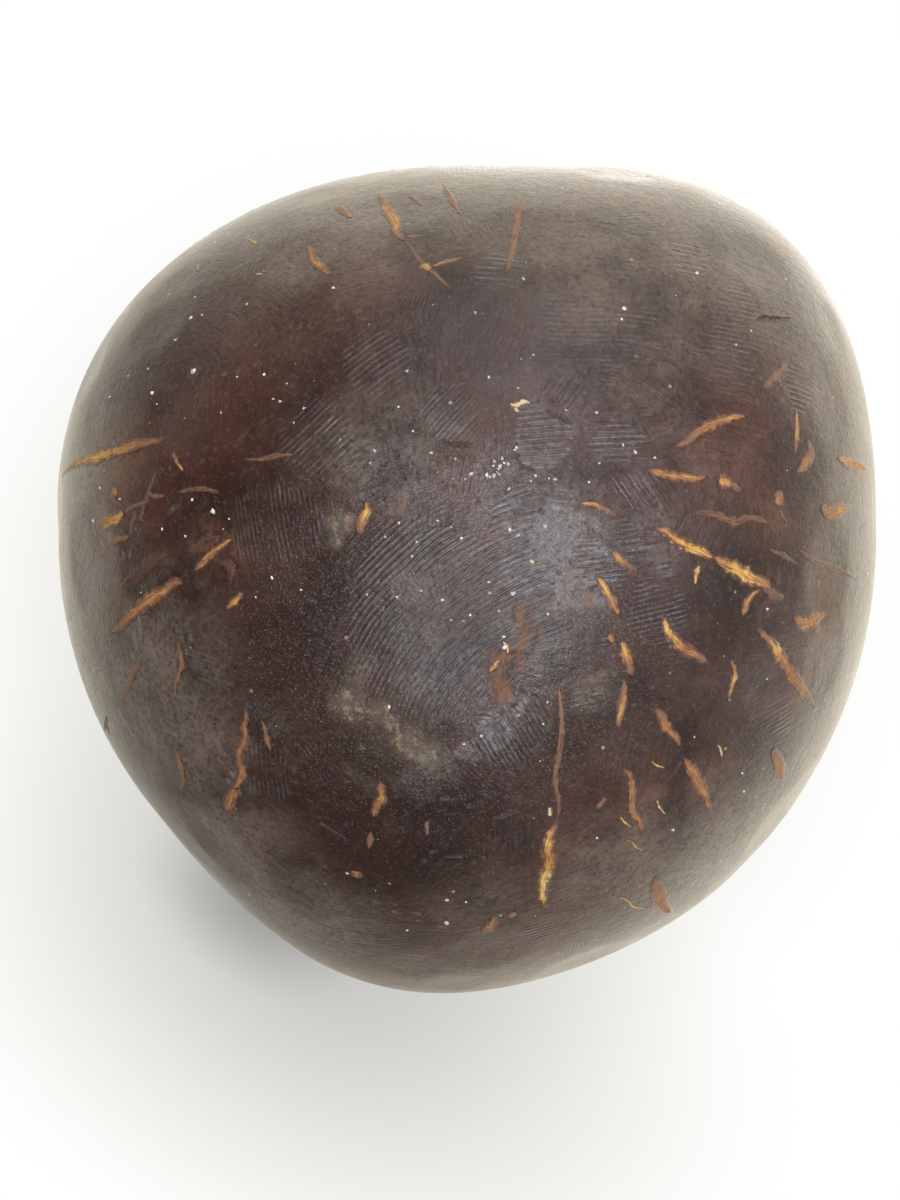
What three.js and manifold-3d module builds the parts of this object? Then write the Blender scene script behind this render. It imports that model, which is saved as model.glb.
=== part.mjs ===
// A carved coconut basket: a three-lobed coconut shell bowl with a pierced band and a scalloped rim,
// and a swinging handle cut from shell, riveted through the wall on both sides.
// Millimetres, +Z up. The origin is the middle of the flat that the basket stands on.
import * as THREE from "three";
import { mergeVertices } from "three/addons/utils/BufferGeometryUtils.js";
import Module from "manifold-3d";

// Shell: the nut's half width, half height, wall, and the depth that its end is ground flat.
const SHELL_RADIUS = 62.5;
const SHELL_HALF_HEIGHT = 58;
const SHELL_WALL = 4.2;
const BASE_WALL = 5;
const FOOT_GRIND = 0.5;
const RIM_HEIGHT = 80;
const SCALLOP_COUNT = 16;
const SCALLOP_RISE = 3;

// Plan shape of the nut: each wave is a share of the radius, a count round the nut and a phase in degrees.
const LOBE_WAVES = [
  { share: 0.0235, count: 1, phase: 48 },
  { share: 0.0177, count: 2, phase: 138 },
  { share: 0.0431, count: 3, phase: 103 },
  { share: 0.0151, count: 4, phase: -140 },
  { share: 0.0134, count: 5, phase: -124 },
  { share: 0.0058, count: 7, phase: -16 },
];

// Pierced band: a pointed petal under each scallop and a small eye between two petals.
const BAND_HEIGHT = 68;
const PETAL_WIDTH = 8;
const PETAL_HEIGHT = 12;
const EYE_RADIUS = 1.6;
const PIERCING_DEPTH = 30;

// Pivot: brass rivet, washers and the flat seats filed into the wall's two faces for them.
const PIVOT_HEIGHT = 68;
const OUTER_SEAT_DEPTH = 0.75;
const OUTER_SEAT_RADIUS = 8;
const INNER_SEAT_DEPTH = 0.2;
const INNER_SEAT_RADIUS = 5;
const SHANK_RADIUS = 1.7;
const SHANK_CLEARANCE = 0.3;
const SEAT_GAP = 0.3;
const WASHER_RADIUS = 4.8;
const WASHER_THICKNESS = 2;
const ROVE_RADIUS = 4;
const ROVE_THICKNESS = 0.8;
const HEAD_RADIUS = 4;
const HEAD_HEIGHT = 1.6;
const TAIL_RADIUS = 2.7;
const TAIL_HEIGHT = 1.1;

// Handle: a bowed strip of shell with round eyes at its ends.
const HANDLE_RISE = 74;
const HANDLE_BOW = 7;
const HANDLE_UPRIGHT_SHARE = 0.12;
const HANDLE_THICKNESS = 3.4;
const HANDLE_TOP_WIDTH = 16;
const HANDLE_LEG_WIDTH = 10;
const HANDLE_CROWN = 0.9;
const HANDLE_EYE_RADIUS = 6.6;

// Facets of each form.
const ROUND_STEPS = 96;
const OUTER_STEPS = 18;
const INNER_STEPS = 12;
const HANDLE_STEPS = 48;
const RIVET_STEPS = 20;

const BORE_RADIUS = SHANK_RADIUS + SHANK_CLEARANCE;
const EQUATOR_HEIGHT = SHELL_HALF_HEIGHT - FOOT_GRIND;
const PIVOT_SIDES = [0, Math.PI];
// Both sides' seats are cut to the same reach, from the side where the wall leaves least for them.
const OUTER_SEAT_X = Math.min(...wallReaches(0)) - OUTER_SEAT_DEPTH;
const INNER_SEAT_X = Math.max(...wallReaches(1)) + INNER_SEAT_DEPTH;
const WASHER_X = OUTER_SEAT_X + SEAT_GAP;
const HANDLE_END_X = WASHER_X + WASHER_THICKNESS + SEAT_GAP;
const HANDLE_HALF_SPAN = HANDLE_END_X + HANDLE_THICKNESS / 2;
const HEAD_X = HANDLE_END_X + HANDLE_THICKNESS + SEAT_GAP;
const ROVE_X = INNER_SEAT_X - SEAT_GAP - ROVE_THICKNESS;
const TAIL_X = ROVE_X - SEAT_GAP;

const wasm = await Module();
wasm.setup();

// A closed geometry as a solid that can be joined and cut.
function solidOf(geometry) {
  const plain = geometry.index ? geometry.toNonIndexed() : geometry.clone();
  plain.deleteAttribute("normal");
  plain.deleteAttribute("uv");
  const merged = mergeVertices(plain, 1e-4);
  return new wasm.Manifold(
    new wasm.Mesh({
      numProp: 3,
      vertProperties: new Float32Array(merged.attributes.position.array),
      triVerts: new Uint32Array(merged.index.array),
    }),
  );
}

// A solid back as a geometry to draw.
function geometryOf(solid) {
  const mesh = solid.getMesh();
  const points = new Float32Array(mesh.numVert * 3);
  for (let i = 0; i < mesh.numVert; i++) {
    points.set(mesh.vertProperties.subarray(i * mesh.numProp, i * mesh.numProp + 3), i * 3);
  }
  const geometry = new THREE.BufferGeometry();
  geometry.setAttribute("position", new THREE.BufferAttribute(points, 3));
  geometry.setIndex(new THREE.BufferAttribute(new Uint32Array(mesh.triVerts), 1));
  geometry.computeVertexNormals();
  return geometry;
}

// A closed skin through rings of equal point counts, with a fan to a pole point at each end.
function skinOf(rings, firstPole, lastPole) {
  const count = rings[0].length;
  const points = [firstPole, ...rings.flat(), lastPole];
  const last = points.length - 1;
  const index = [];
  for (let i = 0; i < count; i++) {
    const next = (i + 1) % count;
    index.push(0, 1 + next, 1 + i);
    const top = 1 + (rings.length - 1) * count;
    index.push(last, top + i, top + next);
  }
  for (let r = 0; r + 1 < rings.length; r++) {
    const low = 1 + r * count;
    const high = low + count;
    for (let i = 0; i < count; i++) {
      const next = (i + 1) % count;
      index.push(low + i, low + next, high + next, low + i, high + next, high + i);
    }
  }
  const geometry = new THREE.BufferGeometry();
  geometry.setAttribute("position", new THREE.Float32BufferAttribute(points.flat(), 3));
  geometry.setIndex(index);
  return geometry;
}

// The plan's radius factor at an azimuth, fading to a plain circle at the pole.
function lobeFactor(azimuth, polar) {
  const fade = Math.sin(polar) ** 2;
  const wave = ({ share, count, phase }) =>
    share * Math.cos(count * azimuth + THREE.MathUtils.degToRad(phase));
  return 1 + fade * LOBE_WAVES.reduce((sum, lobe) => sum + wave(lobe), 0);
}

// A point of the shell, at a depth of 0 on its outside and of 1 on its inside.
function shellPoint(azimuth, polar, depth) {
  const radius = (SHELL_RADIUS - depth * SHELL_WALL) * Math.sin(polar) * lobeFactor(azimuth, polar);
  const height = EQUATOR_HEIGHT - (SHELL_HALF_HEIGHT - depth * BASE_WALL) * Math.cos(polar);
  return [radius * Math.cos(azimuth), radius * Math.sin(azimuth), height];
}

// The polar angle at which the outside (depth 0) or inside (depth 1) reaches a height.
function polarAt(height, depth) {
  return Math.acos((EQUATOR_HEIGHT - height) / (SHELL_HALF_HEIGHT - depth * BASE_WALL));
}

// How far out the wall's outside (depth 0) or inside (depth 1) lies on the pivot line, on either side.
function wallReaches(depth) {
  const polar = polarAt(PIVOT_HEIGHT, depth);
  return PIVOT_SIDES.map((side) => Math.abs(shellPoint(side, polar, depth)[0]));
}

// The rim's height at an azimuth, with its scallops.
function rimHeight(azimuth) {
  return RIM_HEIGHT + (SCALLOP_RISE / 2) * (1 + Math.cos(SCALLOP_COUNT * azimuth));
}

// The hollow shell as one closed skin: foot, outside, rim, inside.
function shellSkin() {
  const azimuths = Array.from({ length: ROUND_STEPS }, (_, i) => (i / ROUND_STEPS) * 2 * Math.PI);
  const footPolar = polarAt(0, 0);
  const outside = Array.from({ length: OUTER_STEPS + 1 }, (_, r) =>
    azimuths.map((azimuth) => {
      const rimPolar = polarAt(rimHeight(azimuth), 0);
      return shellPoint(azimuth, THREE.MathUtils.lerp(footPolar, rimPolar, r / OUTER_STEPS), 0);
    }),
  );
  const inside = Array.from({ length: INNER_STEPS }, (_, r) =>
    azimuths.map((azimuth) => {
      const rimPolar = polarAt(rimHeight(azimuth), 1);
      return shellPoint(azimuth, rimPolar * (1 - r / INNER_STEPS), 1);
    }),
  );
  return skinOf([...outside, ...inside], [0, 0, 0], shellPoint(0, 0, 1));
}

// A cylinder along X from one plane to another, on the pivot line.
function pivotCylinder(radius, fromX, toX) {
  const geometry = new THREE.CylinderGeometry(radius, radius, toX - fromX, RIVET_STEPS);
  geometry.rotateZ(-Math.PI / 2);
  geometry.translate((fromX + toX) / 2, 0, PIVOT_HEIGHT);
  return geometry;
}

// The cutter for one petal, pointing along +X: two arcs that meet in a point above and below.
function petalCutter() {
  const halfWidth = PETAL_WIDTH / 2;
  const halfHeight = PETAL_HEIGHT / 2;
  const outline = new THREE.Shape();
  outline.moveTo(0, -halfHeight);
  outline.quadraticCurveTo(2 * halfWidth, 0, 0, halfHeight);
  outline.quadraticCurveTo(-2 * halfWidth, 0, 0, -halfHeight);
  const options = { depth: PIERCING_DEPTH, bevelEnabled: false, curveSegments: 7 };
  const geometry = new THREE.ExtrudeGeometry(outline, options);
  geometry.rotateX(Math.PI / 2);
  geometry.rotateZ(Math.PI / 2);
  geometry.translate(SHELL_RADIUS - PIERCING_DEPTH / 2, 0, BAND_HEIGHT);
  return geometry;
}

// The cutter for one eye, a small round hole along +X.
function eyeCutter() {
  const geometry = new THREE.CylinderGeometry(EYE_RADIUS, EYE_RADIUS, PIERCING_DEPTH, 8);
  geometry.rotateZ(Math.PI / 2);
  geometry.translate(SHELL_RADIUS, 0, BAND_HEIGHT);
  return geometry;
}

// Everything that is cut through the shell's band, leaving the wall whole at the two pivots.
function bandCutters() {
  const step = (2 * Math.PI) / SCALLOP_COUNT;
  const cutters = [];
  for (let i = 0; i < SCALLOP_COUNT; i++) {
    if (i % (SCALLOP_COUNT / 2) !== 0) {
      cutters.push(petalCutter().rotateZ(i * step));
    }
    cutters.push(eyeCutter().rotateZ((i + 0.5) * step));
  }
  return cutters;
}

// The seats and the bore for the pivot on the +X side.
function pivotCutters() {
  const reach = SHELL_RADIUS + PIERCING_DEPTH;
  const depth = SHELL_RADIUS - PIERCING_DEPTH;
  return [
    pivotCylinder(OUTER_SEAT_RADIUS, OUTER_SEAT_X, reach),
    pivotCylinder(INNER_SEAT_RADIUS, depth, INNER_SEAT_X),
    pivotCylinder(BORE_RADIUS, depth, reach),
  ];
}

function shellGeometry() {
  let solid = solidOf(shellSkin());
  const leftCutters = pivotCutters().map((cutter) => cutter.rotateZ(Math.PI));
  for (const cutter of [...bandCutters(), ...pivotCutters(), ...leftCutters]) {
    solid = solid.subtract(solidOf(cutter));
  }
  return geometryOf(solid);
}

// The handle's centreline in the XZ plane, from the +X eye at 0 over the top to the -X eye at 1.
// It leaves each eye upright, so that the strip stays flat against the rivet, and bows out above.
function handlePath(share) {
  const turn = share * Math.PI;
  const bowing = 1 - Math.exp(-((Math.sin(turn) / HANDLE_UPRIGHT_SHARE) ** 2));
  const x = HANDLE_HALF_SPAN * Math.cos(turn) + HANDLE_BOW * bowing * Math.sin(2 * turn);
  return new THREE.Vector3(x, 0, PIVOT_HEIGHT + HANDLE_RISE * Math.sin(turn));
}

// The handle's outward direction in the XZ plane.
function handleNormal(share) {
  const step = 1e-4;
  const way = handlePath(share + step).sub(handlePath(share - step));
  return new THREE.Vector3(way.z, 0, -way.x).normalize();
}

// The strip: a flat inner face and a crowned outer face, widest at the top.
function handleStrip() {
  const rings = Array.from({ length: HANDLE_STEPS + 1 }, (_, i) => {
    const share = i / HANDLE_STEPS;
    const width = THREE.MathUtils.lerp(HANDLE_LEG_WIDTH, HANDLE_TOP_WIDTH, Math.sin(share * Math.PI) ** 2);
    const centre = handlePath(share);
    const normal = handleNormal(share);
    const inner = -HANDLE_THICKNESS / 2;
    const outer = HANDLE_THICKNESS / 2;
    const section = [
      [-0.5, inner],
      [-0.5, outer - HANDLE_CROWN],
      [-0.25, outer - HANDLE_CROWN / 4],
      [0, outer],
      [0.25, outer - HANDLE_CROWN / 4],
      [0.5, outer - HANDLE_CROWN],
      [0.5, inner],
    ];
    return section.map(([across, out]) => {
      const point = centre.clone().addScaledVector(normal, out);
      return [point.x, across * width, point.z];
    });
  });
  const start = handlePath(0);
  const end = handlePath(1);
  return skinOf(rings, start.toArray(), end.toArray());
}

function handleGeometry() {
  let solid = solidOf(handleStrip());
  for (const side of PIVOT_SIDES) {
    const inner = HANDLE_END_X;
    const outer = HANDLE_END_X + HANDLE_THICKNESS;
    solid = solid.add(solidOf(pivotCylinder(HANDLE_EYE_RADIUS, inner, outer).rotateZ(side)));
  }
  for (const side of PIVOT_SIDES) {
    const bore = pivotCylinder(BORE_RADIUS, SHELL_RADIUS - PIERCING_DEPTH, SHELL_RADIUS + PIERCING_DEPTH);
    solid = solid.subtract(solidOf(bore.rotateZ(side)));
  }
  return geometryOf(solid);
}

// A turned piece along +X on the pivot line, from [x, radius] corners that start and end on the axis.
function turned(corners) {
  const profile = corners.map(([x, radius]) => new THREE.Vector2(radius, x));
  const geometry = new THREE.LatheGeometry(profile, RIVET_STEPS);
  geometry.rotateZ(-Math.PI / 2);
  geometry.translate(0, 0, PIVOT_HEIGHT);
  return geometry;
}

// A rivet with a domed head outside and a peened tail inside.
function rivetGeometry() {
  const dome = [0.35, 0.7].map((share) => [
    HEAD_X + HEAD_HEIGHT * Math.sin((share * Math.PI) / 2),
    HEAD_RADIUS * Math.cos((share * Math.PI) / 2),
  ]);
  return turned([
    [TAIL_X - TAIL_HEIGHT, 0],
    [TAIL_X - TAIL_HEIGHT, TAIL_RADIUS * 0.7],
    [TAIL_X - TAIL_HEIGHT / 2, TAIL_RADIUS],
    [TAIL_X, TAIL_RADIUS],
    [TAIL_X, SHANK_RADIUS],
    [HEAD_X, SHANK_RADIUS],
    [HEAD_X, HEAD_RADIUS],
    ...dome,
    [HEAD_X + HEAD_HEIGHT, 0],
  ]);
}

// A flat ring round the shank.
function ringGeometry(fromX, thickness, radius) {
  return turned([
    [fromX, BORE_RADIUS],
    [fromX, radius],
    [fromX + thickness, radius],
    [fromX + thickness, BORE_RADIUS],
    [fromX, BORE_RADIUS],
  ]);
}

const shellFinish = new THREE.MeshStandardMaterial({ color: 0x3a2825, roughness: 0.32, metalness: 0 });
const handleFinish = new THREE.MeshStandardMaterial({ color: 0x46302a, roughness: 0.35, metalness: 0 });
const brassFinish = new THREE.MeshStandardMaterial({ color: 0xa8823c, roughness: 0.4, metalness: 1 });

const basket = new THREE.Group();

function place(name, geometry, material, turn = 0) {
  const mesh = new THREE.Mesh(geometry, material);
  mesh.name = name;
  mesh.rotation.z = turn;
  basket.add(mesh);
}

place("shell_bowl", shellGeometry(), shellFinish);
place("handle", handleGeometry(), handleFinish);
for (const [side, turn] of [
  ["right", 0],
  ["left", Math.PI],
]) {
  place(`${side}_rivet`, rivetGeometry(), brassFinish, turn);
  place(`${side}_washer`, ringGeometry(WASHER_X, WASHER_THICKNESS, WASHER_RADIUS), brassFinish, turn);
  place(`${side}_rove`, ringGeometry(ROVE_X, ROVE_THICKNESS, ROVE_RADIUS), brassFinish, turn);
}

export default basket;
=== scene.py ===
"""Carved coconut basket: the looks of its shell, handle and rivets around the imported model.

Everything is in metres in the model's own frame, +Z up, standing on z = 0. The basket is seen from below,
straight on to the ground end of the nut, so the floor has one side only.
"""

import logging
import math
from dataclasses import dataclass, field
from enum import Enum
from functools import cache, reduce

import bpy
import numpy as np
from bpy.types import ID, Material, Node, NodeOutputs, NodeSocket, NodeTree, Object
from mathutils import Matrix, Vector
from mathutils.bvhtree import BVHTree

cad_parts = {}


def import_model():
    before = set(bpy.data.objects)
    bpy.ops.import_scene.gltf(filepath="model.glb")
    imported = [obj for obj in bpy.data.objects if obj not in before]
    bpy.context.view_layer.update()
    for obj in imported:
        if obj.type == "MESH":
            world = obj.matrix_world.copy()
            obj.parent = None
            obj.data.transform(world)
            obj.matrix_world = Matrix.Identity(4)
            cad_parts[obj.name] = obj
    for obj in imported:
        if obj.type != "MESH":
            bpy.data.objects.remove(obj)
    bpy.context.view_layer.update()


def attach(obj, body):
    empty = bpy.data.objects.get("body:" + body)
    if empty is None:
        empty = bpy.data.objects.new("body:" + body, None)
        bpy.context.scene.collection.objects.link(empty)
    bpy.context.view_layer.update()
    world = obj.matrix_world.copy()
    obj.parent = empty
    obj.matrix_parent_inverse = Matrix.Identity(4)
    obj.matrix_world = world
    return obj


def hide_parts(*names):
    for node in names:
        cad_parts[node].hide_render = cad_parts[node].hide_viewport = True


logging.basicConfig(level=logging.INFO, format="%(name)s: %(message)s")
log = logging.getLogger("basket")

MM = 0.001
PHOTO_WIDTH = 900
PHOTO_HEIGHT = 1200
LENS_PX = 1200.0
SEED = 41
TURN = 2 * math.pi


class Body(Enum):
    """The bodies that pieces ride on."""

    BOWL = "bowl"
    HANDLE = "handle"


class Slot(Enum):
    """The record's material slots."""

    SHELL = "shell"
    HANDLE = "handle"
    BRASS = "brass"


@dataclass(frozen=True)
class Wave:
    """One wave of the nut's plan shape."""

    share: float
    count: int
    phase: float


@dataclass(frozen=True)
class ShellForm:
    """The nut: an ellipsoid whose plan has three soft lobes, with its end ground flat."""

    radius: float = 62.5 * MM
    half_height: float = 58 * MM
    wall: float = 4.2 * MM
    base_wall: float = 5 * MM
    grind: float = 0.5 * MM
    rim: float = 80 * MM
    scallops: int = 16
    scallop_rise: float = 3 * MM
    waves: tuple = (
        Wave(0.0235, 1, 48),
        Wave(0.0177, 2, 138),
        Wave(0.0431, 3, 103),
        Wave(0.0151, 4, -140),
        Wave(0.0134, 5, -124),
        Wave(0.0058, 7, -16),
    )

    @property
    def equator(self) -> float:
        """Returns the height of the nut's widest ring."""
        return self.half_height - self.grind

    def lobe(self, azimuth: np.ndarray, polar: np.ndarray) -> np.ndarray:
        """Gives the radius factor: 1 at the pole, and 1 plus the sum of the waves at the widest ring."""
        total = sum(w.share * np.cos(w.count * azimuth + math.radians(w.phase)) for w in self.waves)
        return 1 + np.sin(polar) ** 2 * total

    def point(self, azimuth: np.ndarray, polar: np.ndarray, depth: float) -> np.ndarray:
        """Places points of the shell.

        Args:
            azimuth: Angle round the nut, radians.
            polar: Angle from the lower pole, radians.
            depth: 0 on the outside, 1 on the inside.

        Returns:
            Points, in the last axis, in metres.
        """
        radius = (self.radius - depth * self.wall) * np.sin(polar) * self.lobe(azimuth, polar)
        height = self.equator - (self.half_height - depth * self.base_wall) * np.cos(polar)
        return np.stack([radius * np.cos(azimuth), radius * np.sin(azimuth), height], axis=-1)

    def polar_at(self, height: np.ndarray, depth: float) -> np.ndarray:
        """Gives the polar angle at which a wall's face reaches a height."""
        return np.arccos((self.equator - height) / (self.half_height - depth * self.base_wall))

    def rim_height(self, azimuth: np.ndarray) -> np.ndarray:
        """Gives the scalloped rim's height."""
        return self.rim + self.scallop_rise / 2 * (1 + np.cos(self.scallops * azimuth))


@dataclass(frozen=True)
class PivotForm:
    """The pivot line's stack of pieces on the +X side, seated on the nut's wall."""

    nut: ShellForm = ShellForm()
    height: float = 68 * MM
    outer_seat_depth: float = 0.75 * MM
    outer_seat_radius: float = 8 * MM
    inner_seat_depth: float = 0.2 * MM
    inner_seat_radius: float = 5 * MM
    shank: float = 1.7 * MM
    clearance: float = 0.3 * MM
    gap: float = 0.3 * MM
    washer_radius: float = 4.8 * MM
    washer: float = 2 * MM
    rove_radius: float = 4 * MM
    rove: float = 0.8 * MM
    head_radius: float = 4 * MM
    head: float = 1.6 * MM
    tail_radius: float = 2.7 * MM
    tail: float = 1.1 * MM
    handle: float = 3.4 * MM
    cutter_start: float = 30 * MM
    cutter_end: float = 95 * MM
    facets: int = 64

    def wall_reaches(self, depth: float) -> list:
        """Gives how far a wall's face reaches from the axis on the two pivot sides."""
        polar = self.nut.polar_at(self.height, depth)
        return [abs(float(self.nut.point(side, polar, depth)[0])) for side in (0.0, math.pi)]

    @property
    def outer_seat(self) -> float:
        """Returns the outer seat's face, cut in from the side where the wall leaves least for it."""
        return min(self.wall_reaches(0)) - self.outer_seat_depth

    @property
    def inner_seat(self) -> float:
        """Returns the inner seat's face."""
        return max(self.wall_reaches(1)) + self.inner_seat_depth

    @property
    def bore(self) -> float:
        """Returns the bore's radius."""
        return self.shank + self.clearance

    @property
    def washer_x(self) -> float:
        """Returns the washer's inner face."""
        return self.outer_seat + self.gap

    @property
    def handle_x(self) -> float:
        """Returns the handle eye's inner face."""
        return self.washer_x + self.washer + self.gap

    @property
    def head_x(self) -> float:
        """Returns the face under the rivet's head."""
        return self.handle_x + self.handle + self.gap

    @property
    def rove_x(self) -> float:
        """Returns the rove's inner face."""
        return self.inner_seat - self.gap - self.rove

    @property
    def tail_x(self) -> float:
        """Returns the face of the peened tail against the rove."""
        return self.rove_x - self.gap

    def barrel(self, radius: float, low: float, high: float, side: int) -> tuple:
        """Makes a cylinder on the pivot line.

        Args:
            radius: Its radius.
            low: Its end nearer the middle.
            high: Its outer end.
            side: 1 for +X, -1 for -X.

        Returns:
            Its points and faces.
        """
        turn = circle(self.facets)
        y, z = radius * np.cos(turn) * side, self.height + radius * np.sin(turn)
        rings = [np.stack([np.full(self.facets, x * side), y, z], axis=-1) for x in (low, high)]
        return np.concatenate(rings), tube_faces(2, self.facets)

    def bores(self) -> list:
        """Gives the cutters of the two bores."""
        return [self.barrel(self.bore, self.cutter_start, self.cutter_end, side) for side in (1, -1)]


@dataclass(frozen=True)
class BandForm:
    """The pierced band under the rim, and the lines cut round the nut above and below it."""

    height: float = 68 * MM
    petal_half_width: float = 4 * MM
    petal_half_height: float = 6 * MM
    eye_radius: float = 1.6 * MM
    line_heights: tuple = (57.2 * MM, 59.0 * MM)
    line_width: float = 0.45 * MM
    line_depth: float = 0.32 * MM
    rim_line_drop: float = 2.5 * MM
    zigzag_height: float = 52.4 * MM
    zigzag_rise: float = 1.9 * MM
    zigzags: int = 32

    def depth(self, azimuth: np.ndarray, height: np.ndarray, rim: np.ndarray) -> np.ndarray:
        """Gives how deep the cut lines are: level rings, a zigzag below them and a line under the rim.

        Each line's depth falls off from its middle as a bell curve of the height above or below it.

        Args:
            azimuth: Angles round the nut, radians.
            height: Heights, metres.
            rim: The rim's height at those angles.

        Returns:
            Depths in metres.
        """
        saw = np.abs((azimuth * self.zigzags / TURN) % 1.0 * 2 - 1)
        middles = [*self.line_heights, rim - self.rim_line_drop]
        middles.append(self.zigzag_height + self.zigzag_rise * (2 * saw - 1))
        bells = [np.exp(-(((height - middle) / self.line_width) ** 2)) for middle in middles]
        return self.line_depth * np.maximum.reduce(bells)


@dataclass(frozen=True)
class View:
    """The camera: where the nut's middle and its ground end fall in the picture, and how far off it is."""

    middle_px: tuple = (464.0, 572.0)
    end_px: tuple = (450.0, 640.0)
    distance: float = 189.5 * MM

    def ray(self, px: tuple) -> Vector:
        """Gives the direction of a picture point in camera axes, right, up and back."""
        return Vector(((px[0] - PHOTO_WIDTH / 2) / LENS_PX, (PHOTO_HEIGHT / 2 - px[1]) / LENS_PX, -1.0))

    def placing(self, form: ShellForm) -> Matrix:
        """Works out the camera's place from the two picture points.

        Args:
            form: The nut.

        Returns:
            The camera's matrix.
        """
        middle = self.ray(self.middle_px) * self.distance
        end = self.ray(self.end_px) * (self.distance - form.half_height)
        down = (end - middle).normalized()
        basis = Matrix(((1, 0, 0), (0, -1, 0), (0, 0, -1)))
        turn = (basis @ down).rotation_difference(Vector((0, 0, -1))).to_matrix() @ basis
        place = Vector((0, 0, form.equator)) - turn @ middle
        return Matrix.Translation(place) @ turn.to_4x4()


def unit(v: np.ndarray) -> np.ndarray:
    """Scales vectors in the last axis to length one."""
    return v / np.maximum(np.linalg.norm(v, axis=-1, keepdims=True), 1e-12)


def circle(count: int) -> np.ndarray:
    """Gives even angles round a full turn."""
    return np.linspace(0, TURN, count, endpoint=False)


def distances(path: np.ndarray) -> np.ndarray:
    """Gives how far along a path each of its points lies."""
    return np.concatenate([[0], np.cumsum(np.linalg.norm(np.diff(path, axis=0), axis=1))])


def linked(name: str, data: ID) -> Object:
    """Puts a mesh, lamp or camera into the scene.

    Args:
        name: The object's name.
        data: What it shows.

    Returns:
        The object.
    """
    obj = bpy.data.objects.new(name, data)
    bpy.context.scene.collection.objects.link(obj)
    return obj


def write_points(obj: Object, name: str, values: np.ndarray) -> None:
    """Writes an attribute on a piece's points.

    Args:
        obj: The piece.
        name: The attribute's name.
        values: A number or a vector for each point.
    """
    kind, key = ("FLOAT_VECTOR", "vector") if values.ndim == 2 else ("FLOAT", "value")
    attribute = obj.data.attributes.new(name, kind, "POINT")
    attribute.data.foreach_set(key, values.astype(np.float32).ravel())


def mesh_from(name: str, points: np.ndarray, faces: list, smooth: bool = True) -> Object:
    """Makes a linked mesh object from points and faces.

    Args:
        name: The piece's name.
        points: Points in metres, one row each.
        faces: Lists of point numbers, turning left round the outward side.
        smooth: Whether faces are shaded smooth.

    Returns:
        The object, at the origin.
    """
    mesh = bpy.data.meshes.new(name)
    mesh.from_pydata([tuple(p) for p in points.reshape(-1, 3)], [], faces)
    mesh.polygons.foreach_set("use_smooth", np.full(len(mesh.polygons), smooth))
    mesh.update()
    return linked(name, mesh)


def ring_faces(rows: int, count: int) -> list:
    """Joins closed rings that go upwards round a vertical axis by quads.

    Args:
        rows: How many rings.
        count: Points in each.

    Returns:
        The quads as lists of point numbers.
    """
    low = np.arange(rows - 1)[:, None] * count + np.arange(count)
    right = np.arange(rows - 1)[:, None] * count + np.roll(np.arange(count), -1)
    return np.stack([low, right, right + count, low + count], axis=-1).reshape(-1, 4).tolist()


def tube_faces(rows: int, count: int, turned: bool = False) -> list:
    """Joins closed rings to a tube with both ends closed.

    Args:
        rows: How many rings.
        count: Points in each.
        turned: Whether the rings run the other way round.

    Returns:
        The faces as lists of point numbers.
    """
    last = (rows - 1) * count
    faces = [*ring_faces(rows, count), list(range(count))[::-1], list(range(last, last + count))]
    return [face[::-1] for face in faces] if turned else faces


@dataclass(frozen=True)
class Flat:
    """One broad flat left by the scraper near the ground end: its angles in degrees and depth in mm."""

    azimuth: float
    polar: float
    depth: float


END_FLATS = tuple(Flat(*row) for row in (
    (53, 7.5, 0.22), (-30, 14, 0.34), (24, 19, 0.26), (171, 10, 0.2), (-90, 13, 0.24), (-10, 24, 0.3),
    (-132, 14, 0.22), (97, 19, 0.3), (56, 23, 0.28), (138, 20, 0.26), (-66, 20, 0.2),
))


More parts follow.
